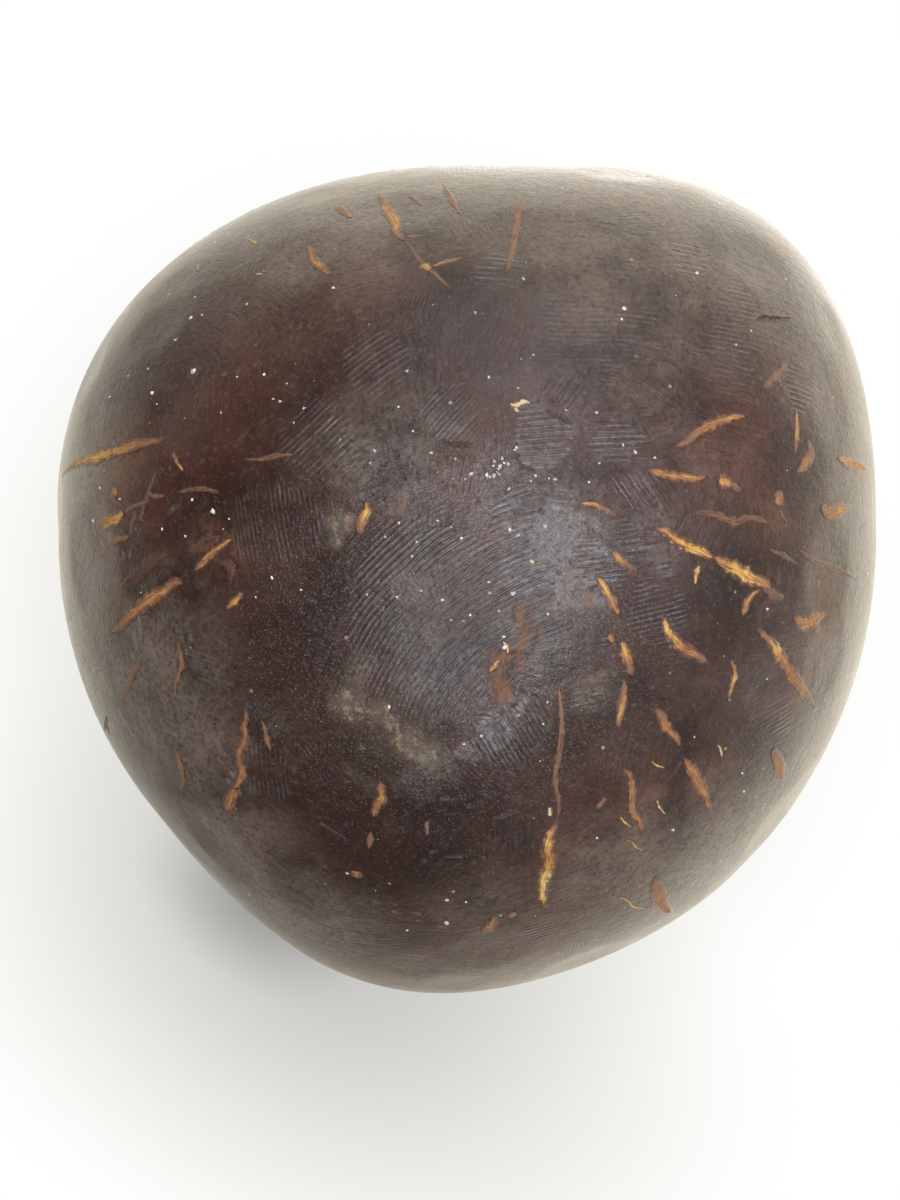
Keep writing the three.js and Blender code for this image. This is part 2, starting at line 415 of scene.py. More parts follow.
@dataclass
class Tool:
    """The maker's cuts in the nut: flats left by the scraper on its outside.

    The flats of END_FLATS lie near the ground end. The others are spread evenly over the rest by the golden
    angle, with some unevenness.
    """

    form: ShellForm
    count: int = 150
    golden_angle: float = 2.39996
    cover: float = 1.75
    turn_unevenness: float = 0.5
    polar_unevenness: float = 0.06
    end_reach: float = 0.48
    least_polar: float = 0.05
    most_polar: float = 2.0
    shallow_mm: float = 0.05
    deep_mm: float = 0.34
    sharpness: float = 2600.0
    most_factor: float = 1.02
    batch: int = 20000
    normals: np.ndarray = field(init=False, repr=False)
    reach: np.ndarray = field(init=False, repr=False)
    middle: np.ndarray = field(init=False, repr=False)

    def __post_init__(self) -> None:
        """Lays out the flats: each one's normal and how far it lies from the nut's middle."""
        form, order = self.form, np.arange(self.count)
        rng = np.random.default_rng(SEED)
        turn_off, polar_off = self.turn_unevenness, self.polar_unevenness
        turns = self.golden_angle * order + rng.uniform(-turn_off, turn_off, self.count)
        polars = np.arccos(1 - self.cover * (order + 0.5) / self.count)
        polars = polars + rng.uniform(-polar_off, polar_off, self.count)
        depths = rng.uniform(self.shallow_mm, self.deep_mm, self.count) * MM
        away = polars > self.end_reach
        near = np.array([[flat.azimuth, flat.polar, flat.depth] for flat in END_FLATS])
        turns = np.concatenate([turns[away], np.radians(near[:, 0])])
        depths = np.concatenate([depths[away], near[:, 2] * MM])
        polars = np.concatenate([polars[away], np.radians(near[:, 1])])
        polars = np.clip(polars, self.least_polar, self.most_polar)
        self.middle = np.array([0, 0, form.equator])
        step = 0.01
        at = form.point(turns, polars, 0)
        along = form.point(turns, polars + step, 0) - form.point(turns, polars - step, 0)
        around = form.point(turns + step, polars, 0) - form.point(turns - step, polars, 0)
        self.normals = unit(np.cross(along, around))
        outward = np.sign(np.sum(self.normals * (at - self.middle), axis=-1, keepdims=True))
        self.normals = self.normals * outward
        self.reach = np.sum(self.normals * (at - self.middle), axis=-1) - depths

    def cut(self, points: np.ndarray) -> np.ndarray:
        """Planes points down to the flats, with a slight round left at their edges.

        A point moves towards the nut's middle by the least factor that puts it on a flat. Factors that are
        nearly as small count too, by the logarithm of their summed powers, which rounds the edge.

        Args:
            points: Points of the outside, metres.

        Returns:
            The planed points.
        """
        flat = points.reshape(-1, 3) - self.middle
        result = np.empty_like(flat)
        for start in range(0, len(flat), self.batch):
            part = flat[start : start + self.batch]
            facing = part @ self.normals.T
            scale = np.where(facing > 1e-6, self.reach / np.maximum(facing, 1e-6), 9.0)
            near = np.minimum(scale, self.most_factor)
            lowest = near.min(axis=1, keepdims=True)
            powers = np.exp(-self.sharpness * (near - lowest)).sum(axis=1)
            soft = lowest[:, 0] - np.log(powers) / self.sharpness
            result[start : start + self.batch] = part * np.minimum(soft, 1.0)[:, None]
        return result.reshape(points.shape) + self.middle


def joined(parts: list) -> tuple:
    """Joins meshes that don't touch one another.

    Args:
        parts: Points and faces of each.

    Returns:
        All points, and all faces numbered anew.
    """
    starts = np.cumsum([0] + [len(points) for points, _ in parts]).tolist()
    faces = [[start + i for i in face] for start, (_, some) in zip(starts, parts) for face in some]
    return np.concatenate([points for points, _ in parts]), faces


def cut(obj: Object, parts: list) -> None:
    """Cuts closed meshes out of a piece and keeps only the result.

    Args:
        obj: The piece that is cut.
        parts: Points and faces of each cutter. They don't touch one another.
    """
    cutter = mesh_from("cutter", *joined(parts), smooth=False)
    modifier = obj.modifiers.new("cut", "BOOLEAN")
    modifier.operation = "DIFFERENCE"
    modifier.solver = "MANIFOLD"
    modifier.object = cutter
    graph = bpy.context.evaluated_depsgraph_get()
    result = bpy.data.meshes.new_from_object(obj.evaluated_get(graph))
    obj.modifiers.clear()
    old = obj.data
    obj.data = result
    bpy.data.meshes.remove(old)
    bpy.data.objects.remove(cutter)


@dataclass
class Bowl:
    """The shell bowl: scraper flats, cut lines and a scalloped rim outside, a pierced band, smooth inside."""

    form: ShellForm
    pivot: PivotForm
    band: BandForm = BandForm()
    around: int = 448
    cap_rows: int = 84
    band_rows: int = 56
    top_rows: int = 14
    inner_rows: int = 36
    cap_top: float = 46 * MM
    band_top: float = 72 * MM
    pole_share: float = 0.008
    lip_shares: tuple = (0.08, 0.25, 0.5, 0.75, 0.92)
    lip_rise: float = 0.5 * MM
    ground_soft: float = 0.3 * MM
    ground_drop: float = 0.04 * MM
    cutter_near: float = 47 * MM
    cutter_far: float = 78 * MM
    seat_near: float = 40 * MM
    seat_far: float = 90 * MM

    def outer_polars(self, rim: np.ndarray) -> np.ndarray:
        """Spaces the outside's rows: even up to the zigzag, closer from there over the band, then to the rim.

        Args:
            rim: The rim's height all round.

        Returns:
            The polar angle of every point, a row for each ring.
        """
        form = self.form
        low, high = form.polar_at(self.cap_top, 0), form.polar_at(self.band_top, 0)
        cap = np.linspace(self.pole_share, low, self.cap_rows)
        over = np.linspace(low, high, self.band_rows + 1)[1:]
        level = np.concatenate([cap, over])[:, None]
        share = np.linspace(0, 1, self.top_rows + 1)[1:, None]
        top = high + (form.polar_at(rim, 0) - high) * share
        return np.concatenate([np.broadcast_to(level, (len(level), self.around)), top])

    def skin(self) -> Object:
        """Builds the closed skin as one grid from the ground end, over the rim, to the inside pole.

        The lip goes from the outside's edge to the inside's in a straight line, raised by the root of a sine.

        Returns:
            The uncut bowl, whose inside faces have the second finish.
        """
        form = self.form
        azimuth = circle(self.around)[None, :]
        rim = form.rim_height(azimuth)
        polar = self.outer_polars(rim)
        spread = np.broadcast_to(azimuth, polar.shape)
        outside = Tool(form).cut(form.point(spread, polar, 0))
        depth = self.band.depth(spread, outside[..., 2], rim)
        outside -= unit(outside - [0, 0, form.equator]) * depth[..., None]
        inner_polar = form.polar_at(rim, 1) * np.linspace(1, self.pole_share, self.inner_rows)[:, None]
        inside = form.point(np.broadcast_to(azimuth, inner_polar.shape), inner_polar, 1)
        share = np.array(self.lip_shares)[:, None, None]
        lip = outside[-1] * (1 - share) + inside[0] * share
        lip = lip + np.array([0, 0, self.lip_rise]) * np.sin(share * math.pi) ** 0.5
        rings = np.concatenate([self.grind(outside), lip, inside])
        faces = tube_faces(len(rings), self.around)
        obj = mesh_from("carved_shell_bowl", rings, faces)
        finish = np.zeros(len(faces), dtype=np.int32)
        finish[(len(outside) + len(lip)) * self.around : -2] = 1
        finish[-1] = 1
        obj.data.polygons.foreach_set("material_index", finish)
        return obj

    def grind(self, outside: np.ndarray) -> np.ndarray:
        """Grinds the end flat: heights go over softly from a level disc to the nut's own curve.

        The ground height is half the sum of the height and the root of its square plus a small square, less
        a small drop.

        Args:
            outside: Points of the outside.

        Returns:
            The ground points.
        """
        ground, height = outside.copy(), outside[..., 2]
        ground[..., 2] = 0.5 * (height + np.sqrt(height**2 + self.ground_soft**2)) - self.ground_drop
        return ground

    def petal(self, azimuth: float) -> tuple:
        """Makes one petal cutter: two arcs that meet above and below.

        Args:
            azimuth: Where it stands, radians.

        Returns:
            Its points and faces.
        """
        share = np.linspace(-1, 1, 17)
        bulge = self.band.petal_half_width * (1 - share**2)
        across = np.concatenate([bulge[:-1], -bulge[::-1][:-1]])
        up = np.concatenate([share[:-1], share[::-1][:-1]]) * self.band.petal_half_height
        return self.prism(across, up, azimuth)

    def eye(self, azimuth: float) -> tuple:
        """Makes one round cutter at an azimuth in radians, as points and faces."""
        turn = circle(24)
        return self.prism(self.band.eye_radius * np.cos(turn), self.band.eye_radius * np.sin(turn), azimuth)

    def prism(self, across: np.ndarray, up: np.ndarray, azimuth: float) -> tuple:
        """Runs an outline straight through the wall.

        Args:
            across: The outline's places along the band.
            up: Its heights over the band's middle.
            azimuth: Where it stands, radians.

        Returns:
            The prism's points and faces.
        """
        count = len(across)
        c, s = math.cos(azimuth), math.sin(azimuth)
        turned = np.array([[c, s, 0], [-s, c, 0], [0, 0, 1]])
        rings = [np.stack([np.full(count, reach), across, self.band.height + up], axis=-1) @ turned
                 for reach in (self.cutter_near, self.cutter_far)]
        return np.concatenate(rings), tube_faces(2, count)

    def cutters(self) -> list:
        """Makes the cutters of the band, the seats and the bores.

        Returns:
            Groups of cutters. Those of one group don't touch one another.
        """
        step = TURN / self.form.scallops
        half = self.form.scallops // 2
        band = [self.petal(i * step) for i in range(self.form.scallops) if i % half]
        band += [self.eye((i + 0.5) * step) for i in range(self.form.scallops)]
        pivot, seats = self.pivot, []
        for side in (1, -1):
            seats.append(pivot.barrel(pivot.outer_seat_radius, pivot.outer_seat, self.seat_far, side))
            seats.append(pivot.barrel(pivot.inner_seat_radius, self.seat_near, pivot.inner_seat, side))
        return [band, seats, pivot.bores()]

    def build(self) -> Object:
        """Makes the bowl and cuts it.

        Returns:
            The finished object.
        """
        obj = self.skin()
        for group in self.cutters():
            cut(obj, group)
        log.info("bowl: %d faces", len(obj.data.polygons))
        return obj


@dataclass
class Bail:
    """The swing handle: a bowed strip with a crowned outside and round ends."""

    pivot: PivotForm
    rise: float = 74 * MM
    bow: float = 7 * MM
    upright_share: float = 0.12
    top_width: float = 16 * MM
    leg_width: float = 10 * MM
    crown: float = 0.9 * MM
    eye_radius: float = 6.6 * MM
    least_half: float = 0.25 * MM
    thin_from: float = 3 * MM
    side_power: float = 0.35
    lift_power: float = 0.45
    rows: int = 360
    tail_rows: int = 25
    across: int = 28

    def build(self) -> Object:
        """Sweeps the strip's section along its bow, with an eye round each pivot.

        The middle line is half an ellipse, widened by the sine of twice the angle but upright near its
        ends. The section's sides and faces are powers of a circle's cosine and sine. The width follows a
        squared sine along the strip, and a circle round each pivot.

        Returns:
            The handle object.
        """
        pivot, tails = self.pivot, self.tail_rows
        half_span = pivot.handle_x + pivot.handle / 2
        turn = np.linspace(0, math.pi, self.rows)
        bowing = 1 - np.exp(-((np.sin(turn) / self.upright_share) ** 2))
        x = half_span * np.cos(turn) + self.bow * bowing * np.sin(2 * turn)
        z = pivot.height + self.rise * np.sin(turn)
        dx, dz = np.gradient(x), np.gradient(z)
        length = np.concatenate([[0], np.cumsum(np.hypot(np.diff(x), np.diff(z)))])
        tail = np.linspace(-self.eye_radius, 0, tails + 1)[:-1]
        reach = np.concatenate([tail, length, length[-1] - tail[::-1]])
        ones = np.ones(tails)
        x = np.concatenate([half_span * ones, x, -half_span * ones])
        z = np.concatenate([pivot.height + tail, z, pivot.height + tail[::-1]])
        nx = np.concatenate([ones, dz / np.hypot(dx, dz), -ones])
        nz = np.concatenate([0 * ones, -dx / np.hypot(dx, dz), 0 * ones])
        for end, way in ((tails, 1.0), (-tails - 1, -1.0)):
            nx[end], nz[end] = way, 0.0
        from_end = np.minimum(reach - reach[0], reach[-1] - reach)
        round_half = np.sqrt(np.maximum(self.eye_radius**2 - (from_end - self.eye_radius) ** 2, 0))
        round_half = np.where(from_end > 2 * self.eye_radius, 0, round_half)
        wide = np.sin(np.clip(reach / length[-1], 0, 1) * math.pi) ** 2
        strip_half = (self.leg_width + (self.top_width - self.leg_width) * wide) / 2
        strip_half = np.where(from_end < self.eye_radius, 0, strip_half)
        half = np.maximum(np.maximum(round_half, strip_half), self.least_half)
        angle = circle(self.across)
        c, s = np.cos(angle), np.sin(angle)
        side = np.sign(c) * np.abs(c) ** self.side_power
        lift = np.sign(s) * np.abs(s) ** self.lift_power
        thick = pivot.handle / 2
        lift = np.where(lift > 0, lift * (thick - self.crown * side**2), lift * thick)
        out = lift[None, :] * np.clip(half / self.thin_from, 0.4, 1)[:, None]
        rings = np.stack(
            [x[:, None] + nx[:, None] * out, half[:, None] * side[None, :], z[:, None] + nz[:, None] * out],
            axis=-1,
        )
        obj = mesh_from("bail_strip", rings, tube_faces(len(rings), self.across, turned=True))
        cut(obj, pivot.bores())
        log.info("handle: %d faces", len(obj.data.polygons))
        return obj


def turned_piece(name: str, corners: list, height: float, side: int, steps: int = 72) -> Object:
    """Turns a closed profile round the pivot line.

    Args:
        name: The piece's name.
        corners: (x, radius) corners of the profile, along +X.
        height: The pivot line's height.
        side: 1 for +X, -1 for -X.
        steps: Facets round the piece.

    Returns:
        The turned object.
    """
    profile = np.array(corners)
    turn = circle(steps)
    x = np.repeat(profile[:, :1], steps, axis=1) * side
    y = profile[:, 1:] * np.cos(turn)[None, :] * side
    z = height + profile[:, 1:] * np.sin(turn)[None, :]
    rings = np.stack([x, y, z], axis=-1)
    reaches_axis = profile[0, 1] < 0.1 * MM
    if reaches_axis:
        return mesh_from(name, rings, tube_faces(len(profile), steps))
    last = (len(profile) - 1) * steps
    closing = [(last + i, last + (i + 1) % steps, (i + 1) % steps, i) for i in range(steps)]
    return mesh_from(name, rings, ring_faces(len(profile), steps) + closing)


@dataclass
class PivotSet:
    """A rivet, its washer and its rove on one side."""

    pivot: PivotForm
    side: int
    ease: float = 0.15 * MM
    break_edge: float = 0.05 * MM
    head_step: float = 0.08 * MM
    tip: float = 0.01 * MM

    def rounded(self, low: float, high: float, inner: float, outer: float) -> list:
        """Draws the profile of a flat ring with eased edges.

        Args:
            low: Its inner face along the pivot line.
            high: Its outer face.
            inner: Its hole's radius.
            outer: Its own radius.

        Returns:
            The profile's corners.
        """
        ease, some = self.ease, self.ease * 0.3
        return [
            (low, inner + ease),
            (low, outer - ease),
            (low + some, outer - some),
            (low + ease, outer),
            (high - ease, outer),
            (high - some, outer - some),
            (high, outer - ease),
            (high, inner + ease),
            (high - ease, inner),
            (low + ease, inner),
        ]

    def build(self) -> dict:
        """Makes the three brass pieces.

        Returns:
            Objects by the name of the CAD node that each replaces.
        """
        p, edge = self.pivot, self.break_edge
        word = "right" if self.side > 0 else "left"
        dome = [
            (p.head_x + p.head * math.sin(t), p.head_radius * math.cos(t))
            for t in np.linspace(0.12, math.pi / 2 - 0.02, 12)
        ]
        peen = [
            (p.tail_x - p.tail * math.sin(t), p.tail_radius * (0.35 + 0.65 * math.cos(t)))
            for t in np.linspace(math.pi / 2, 0.1, 8)
        ]
        rivet = [
            (p.tail_x - p.tail, self.tip),
            *peen,
            (p.tail_x, p.tail_radius),
            (p.tail_x, p.shank + edge),
            (p.tail_x + edge, p.shank),
            (p.head_x - edge, p.shank),
            (p.head_x, p.shank + edge),
            (p.head_x, p.head_radius - 2 * edge),
            (p.head_x + self.head_step, p.head_radius),
            *dome,
            (p.head_x + p.head, self.tip),
        ]
        washer = self.rounded(p.washer_x, p.washer_x + p.washer, p.bore, p.washer_radius)
        rove = self.rounded(p.rove_x, p.rove_x + p.rove, p.bore, p.rove_radius)
        profiles = {
            f"{word}_rivet": (f"{word}_domed_rivet", rivet),
            f"{word}_washer": (f"{word}_flat_washer", washer),
            f"{word}_rove": (f"{word}_inner_rove", rove),
        }
        log.info("%s pivot: %d pieces", word, len(profiles))
        return {node: turned_piece(*named, p.height, self.side) for node, named in profiles.items()}


class Sight:
    """Finds where a picture point falls on the bowl."""

    def __init__(self, camera: Object, view: View, target: Object) -> None:
        """Prepares the search.

        Args:
            camera: The placed camera.
            view: The view that it has.
            target: The bowl.
        """
        self.place = camera.matrix_world.copy()
        self.view = view
        self.tree = BVHTree.FromObject(target, bpy.context.evaluated_depsgraph_get())

    def hit(self, px: tuple) -> tuple:
        """Gives the point and outward normal at a picture point, or (None, None) off the bowl."""
        way = self.place.to_3x3() @ self.view.ray(px)
        return self.drop(self.place.translation, way.normalized())

    def spot(self, px: tuple) -> Vector:
        """Gives the place on the bowl of a picture point."""
        return self.hit(px)[0]

    def scale(self, point: Vector) -> float:
        """Gives how many metres one picture point spans at a place."""
        return (point - self.place.translation).length / LENS_PX

    def direction(self, degrees: float) -> Vector:
        """Gives the direction in the frame of an angle in the picture, left turn from right."""
        turn = math.radians(degrees)
        return self.place.to_3x3() @ Vector((math.cos(turn), math.sin(turn), 0))

    def along_surface(self, normal: Vector, degrees: float) -> Vector:
        """Gives an angle in the picture as a direction that lies in the surface."""
        way = self.direction(degrees)
        return (way - normal * way.dot(normal)).normalized()

    def drop(self, start: Vector, way: Vector) -> tuple:
        """Gives the point and normal where a line from outside meets the bowl, or (None, None)."""
        return self.tree.ray_cast(start, way)[:2]

    @staticmethod
    def arrays(hits: list) -> list:
        """Turns found points and normals into two arrays, one row each."""
        return [np.array([tuple(vector) for vector in column]) for column in zip(*hits)]


@dataclass(frozen=True)
class Fibre:
    """A fibre left in the shell.

    Fields: x and y in turn of picture points along it, its width in picture points, its tones spread evenly
    along it in hundredths of FibreFinish's scale, how strongly it covers the shell, and whether its ends are
    blunt.
    """

    path: tuple
    width: float
    tones: tuple
    cover: float = 1.0
    blunt: bool = False


FIBRES = tuple(Fibre(*row) for row in (
    ((62, 478, 64, 473, 75, 464, 86, 460, 107, 454, 126, 448, 142, 444, 169, 438), 7.4, (66, 78, 80, 74, 50,
         32)),
    ((96, 528, 107, 522, 117, 518, 125, 512), 9, (46, 66, 74, 62)),
    ((122, 514, 132, 507, 144, 503, 151, 500), 2.6, (42, 38), 0.8),
    ((176, 493, 195, 489, 211, 490, 221, 494), 3, (30, 28, 30)),
    ((148, 490, 153, 496, 165, 496), 3, (42, 40), 0.8),
    ((173, 451, 177, 462, 184, 471), 3, (40, 95)),
    ((112, 489, 118, 495), 6, (60, 62), 1, True),
    ((104, 548, 117, 540, 130, 537), 5, (46, 50, 44)),
    ((192, 573, 203, 562, 216, 550, 234, 537), 5.6, (50, 62, 68, 56)),
    ((188, 551, 203, 545, 219, 536), 7, (20, 24, 20), 0.6),
    ((217, 561, 230, 567, 229, 582), 6, (20, 22, 20), 0.6),
    ((120, 586, 138, 576, 152, 562, 170, 552), 9, (42, 40), 0.22),
    ((110, 634, 123, 625, 130, 616, 142, 606, 153, 597, 165, 591, 174, 583, 188, 582), 8.8, (48, 54, 56, 64,
         66, 54, 38)),
    ((226, 609, 236, 600, 242, 592), 5, (42, 70, 42)),
    ((178, 638, 180, 652, 182, 663, 178, 677, 175, 690, 175, 700), 4, (40, 52, 45, 38)),
    ((143, 658, 132, 677, 126, 692, 121, 702), 4.6, (38, 45, 40)),
    ((245, 703, 246, 717, 244, 728, 245, 740, 240, 751, 240, 763, 242, 776, 233, 791, 228, 805, 227, 814),
         6, (42, 60, 56, 50, 62, 66, 58)),
    ((236, 787, 231, 798, 227, 812), 9, (58, 64, 55)),
    ((107, 716, 104, 731), 4, (40, 42)),
    ((261, 719, 265, 730, 267, 740, 271, 752), 3.6, (42, 55, 42)),
    ((172, 742, 177, 753, 181, 766, 183, 778, 181, 791), 5, (40, 50, 54, 42)),
    ((106, 723, 110, 736), 3.4, (40, 38)),
    ((380, 780, 382, 797, 377, 805, 373, 818), 6, (45, 64, 58, 50)),
    ((371, 831, 369, 849), 4, (42, 50)),
    ((427, 820, 427, 836), 3.4, (42, 40)),
    ((357, 871, 357, 878), 6, (60, 55), 1, True),
    ((558, 677, 559, 692, 561, 709, 562, 728, 560, 751, 556, 770, 556, 789, 559, 805, 556, 824), 3.8, (56,
         42, 36, 34, 36, 34)),
    ((558, 818, 549, 839, 548, 849, 550, 860, 546, 874, 543, 885, 543, 897, 546, 912), 8.4, (40, 72, 86, 58,
         84, 90, 86, 70)),
    ((620, 766, 629, 774, 632, 790, 633, 812, 639, 820, 643, 835), 5.8, (40, 56, 50, 60, 45)),
    ((625, 679, 623, 698, 620, 717, 618, 730), 5.6, (40, 56, 62, 42)),
    ((481, 933, 491, 925, 494, 915), 6.6, (42, 62, 50)),
    ((508, 918, 515, 912), 4.4, (56, 60)),
    ((597, 810, 606, 796), 3.4, (40, 42)),
    ((654, 707, 661, 715, 665, 726, 675, 736, 681, 747), 7, (38, 54, 58, 48)),
    ((683, 757, 692, 770, 698, 782, 705, 795, 710, 811), 7.4, (50, 60, 60, 46)),
    ((772, 748, 778, 761, 781, 774, 784, 781), 9, (44, 58, 48)),
    ((655, 877, 658, 893, 663, 906, 672, 915), 10, (44, 55, 44)),
    ((756, 627, 764, 635, 772, 644, 780, 656, 789, 671, 799, 684, 808, 696, 815, 709), 8.4, (32, 56, 86, 62,
         50, 56, 50, 38)),
    ((731, 659, 735, 673, 732, 686, 728, 700), 4.2, (42, 75, 62)),
    ((671, 448, 686, 442, 698, 432, 711, 425, 730, 418, 750, 416), 6, (42, 46, 60, 64, 50)),
    ((646, 469, 663, 474, 673, 476, 692, 478, 709, 477), 6.4, (45, 62, 66, 60, 50)),
    ((718, 479, 731, 484), 9, (74, 70), 1, True),
    ((729, 483, 741, 491), 4.6, (36, 32)),
    ((782, 491, 776, 505), 8, (45, 66)),
    ((777, 510, 785, 527), 7, (20, 18), 0.7),
    ((689, 513, 705, 513, 719, 516, 734, 522, 745, 518, 759, 519, 771, 525), 5, (28, 32, 36, 34, 30), 0.85),
    ((653, 527, 665, 531, 675, 539, 686, 545, 699, 551, 716, 559), 7.4, (42, 72, 84, 80, 66)),
    ((711, 556, 726, 564, 740, 572, 751, 579, 763, 583, 773, 592), 9.5, (60, 72, 80, 82, 70, 45)),
    ((764, 584, 772, 594, 784, 598), 7, (42, 32), 0.85),
    ((760, 590, 753, 594, 747, 602, 743, 616), 6.2, (60, 68, 52)),
    ((612, 550, 621, 560, 631, 568, 636, 577), 6.6, (55, 72, 30, 20)),
    ((596, 575, 606, 589, 611, 600, 619, 616), 6.2, (66, 78, 70, 60)),
    ((609, 634, 613, 643), 5, (50, 58)),
    ((622, 639, 625, 652, 629, 665, 633, 677), 7.2, (70, 78, 52, 30)),
    ((664, 614, 667, 629, 675, 640, 684, 649, 696, 655, 709, 664), 7.8, (70, 80, 68, 62, 48, 34)),
    ((700, 565, 696, 575, 695, 585), 3.6, (95, 80)),
    ((792, 617, 803, 623, 812, 621, 825, 614), 9, (50, 66, 64, 50)),
    ((811, 620, 819, 631), 6, (60, 50)),
    ((837, 458, 851, 464, 868, 470), 8, (70, 70, 60)),
    ((820, 507, 831, 513, 848, 507), 8.6, (46, 62, 68)),
    ((807, 439, 811, 453, 805, 464, 796, 473), 6.8, (38, 45, 62, 56)),
    ((796, 409, 797, 428, 795, 453), 4, (60, 70, 46)),
    ((789, 361, 780, 372, 762, 389), 4.6, (44, 40, 34)),
    ((797, 548, 812, 560, 828, 566, 845, 573, 860, 581), 3.4, (40, 44, 40), 0.7),
    ((768, 549, 784, 556, 797, 564), 3, (40, 42), 0.7),
    ((756, 320, 765, 317, 778, 318, 794, 318), 5, (2, 0, 2), 0.75),
    ((379, 192, 387, 210, 395, 221, 397, 233, 405, 241), 6.4, (42, 66, 72, 50)),
    ((403, 238, 415, 254, 426, 267, 436, 275, 452, 291), 2.8, (34, 42, 40), 0.8),
    ((422, 264, 430, 270), 7, (66, 72), 1, True),
    ((431, 267, 446, 262, 464, 257), 3, (62, 42), 0.9),
    ((406, 236, 422, 236), 3, (45, 40)),
    ((410, 195, 422, 206), 4.2, (45, 55)),
    ((443, 183, 449, 196, 460, 214), 4, (44, 46)),
    ((526, 192, 518, 215, 514, 240, 509, 265, 504, 276), 4.2, (48, 44, 45, 40)),
    ((305, 246, 311, 250, 313, 259, 321, 267, 332, 276), 5.8, (48, 62, 55, 50)),
    ((336, 205, 351, 218), 5.4, (50, 56)),
    ((366, 500, 367, 510, 362, 520, 358, 535), 7, (66, 80, 62, 50)),
    ((578, 504, 591, 504, 598, 506, 618, 516), 3.6, (72, 78, 50, 36)),
    ((243, 459, 262, 459, 280, 455, 296, 455), 3, (36, 42, 38), 0.7),
))

HAIRS = tuple(Fibre(*row) for row in (
    ((247, 238, 258, 244), 2.4, (90, 80)),
    ((198, 263, 198, 272), 2.4, (85, 90)),
    ((256, 274, 263, 274), 2.4, (90, 85)),
    ((717, 744, 721, 749, 722, 758), 2, (95, 90)),
    ((650, 760, 656, 765, 665, 768), 1.8, (95, 90)),
    ((657, 798, 659, 806, 666, 815), 1.7, (90, 95)),
    ((619, 815, 624, 822, 632, 827), 1.7, (90, 85)),
    ((616, 897, 626, 900, 634, 907, 646, 909), 1.7, (90, 80, 90)),
    ((624, 840, 632, 842, 637, 848, 645, 851), 1.5, (85, 90)),
    ((627, 884, 638, 869, 652, 859, 664, 849), 2, (36, 40), 0.8),
    ((529, 560, 535, 563), 2.4, (100, 100)),
    ((550, 807, 550, 817), 3.4, (100, 95), 1, True),
    ((503, 641, 507, 648, 508, 655), 3.4, (100, 95), 1, True),
    ((501, 659, 496, 663, 492, 670), 3.0, (90, 76)),
    ((509, 403, 516, 405, 524, 401, 531, 404), 5.0, (98, 100, 95)),
    ((515, 407, 519, 412), 3.4, (98, 95), 1, True),
    ((488, 672, 493, 668, 499, 664), 3.6, (66, 72)),
))


@dataclass(frozen=True)
class Grain:
    """A pale grain of lime on the shell: picture point and radius in picture points."""

    x: float
    y: float
    radius: float = 1.25


GRAINS = tuple(
    Grain(*spot)
    for spot in (
        (517, 448, 1.6), (515, 450), (494, 461, 1.6), (502, 458, 1.8), (500, 466, 2.3), (498, 469, 1.6),
        (504, 463), (508, 464, 1.5), (493, 466), (487, 475, 2.1), (490, 477, 1.3), (494, 476, 1.9),
        (499, 474, 1.6), (497, 472), (471, 474, 1.7), (465, 479, 1), (536, 476, 1.6), (531, 481),
        (555, 480, 1.6), (549, 478), (509, 489, 1.6), (589, 482), (599, 463), (623, 445), (635, 452, 1.8),
        (438, 521, 1.4), (451, 527, 1), (399, 523), (385, 537), (417, 542), (461, 538), (412, 556),
        (509, 530, 1.7), (518, 536, 1.7), (545, 526, 1.5), (513, 593, 2.4), (490, 593, 1.6), (489, 582),
        (443, 600, 1.6), (421, 591, 1.4), (397, 597, 1.4), (367, 595), (470, 615, 1.5), (499, 611),
        (548, 614, 1.4), (451, 620, 1), (464, 621), (505, 648, 2), (504, 637, 1.5), (548, 702),
        (389, 707, 1.9), (374, 450), (370, 463), (431, 453), (455, 459), (264, 375, 1.6), (152, 393, 1.7),
        (110, 397, 1.6), (193, 371, 2.6), (191, 318, 1.6), (202, 315, 1), (195, 297, 1), (221, 413, 1.4),
        (237, 377, 1), (287, 384, 1), (304, 408, 1.3), (273, 399), (280, 401), (340, 440, 1), (247, 304, 1),
        (175, 340, 1), (148, 369, 1), (157, 404, 1), (333, 288, 1.6), (523, 279, 1.7), (475, 313, 1.6),
        (624, 309, 1.8), (622, 319, 1.4), (597, 413, 1.7), (407, 371, 1.3), (398, 407), (375, 451),
        (533, 355, 1), (697, 273, 1.9), (736, 345, 1.2), (751, 331, 1), (464, 744, 1.4), (481, 736),
        (447, 900, 1.7), (446, 923, 2), (407, 930, 1.3), (466, 902), (347, 873, 1.5), (597, 838),
        (543, 724), (162, 529, 1.3), (185, 536, 1.4), (213, 511, 2.6), (192, 500, 1.5), (229, 519, 1.2),
        (223, 529), (100, 488, 1.2), (120, 499, 1.3), (93, 521, 1.6), (272, 578, 1.6), (301, 590, 1),
        (256, 597, 1), (867, 574, 1.8), (767, 609, 1.4), (767, 679, 1), (673, 830, 1.4), (744, 791),
        (742, 773), (694, 737), (655, 458, 1.5), (518, 388, 1), (566, 410, 1), (413, 431, 1), (489, 377),
    )
)


def smoothed(rng: np.random.Generator, count: int, size: float) -> np.ndarray:
    """Gives a wandering line of numbers round zero, each near its neighbours."""
    raw = rng.normal(0, 1, count + 4)
    return np.convolve(raw, np.array([0.1, 0.25, 0.3, 0.25, 0.1]), mode="valid") * size * 1.6


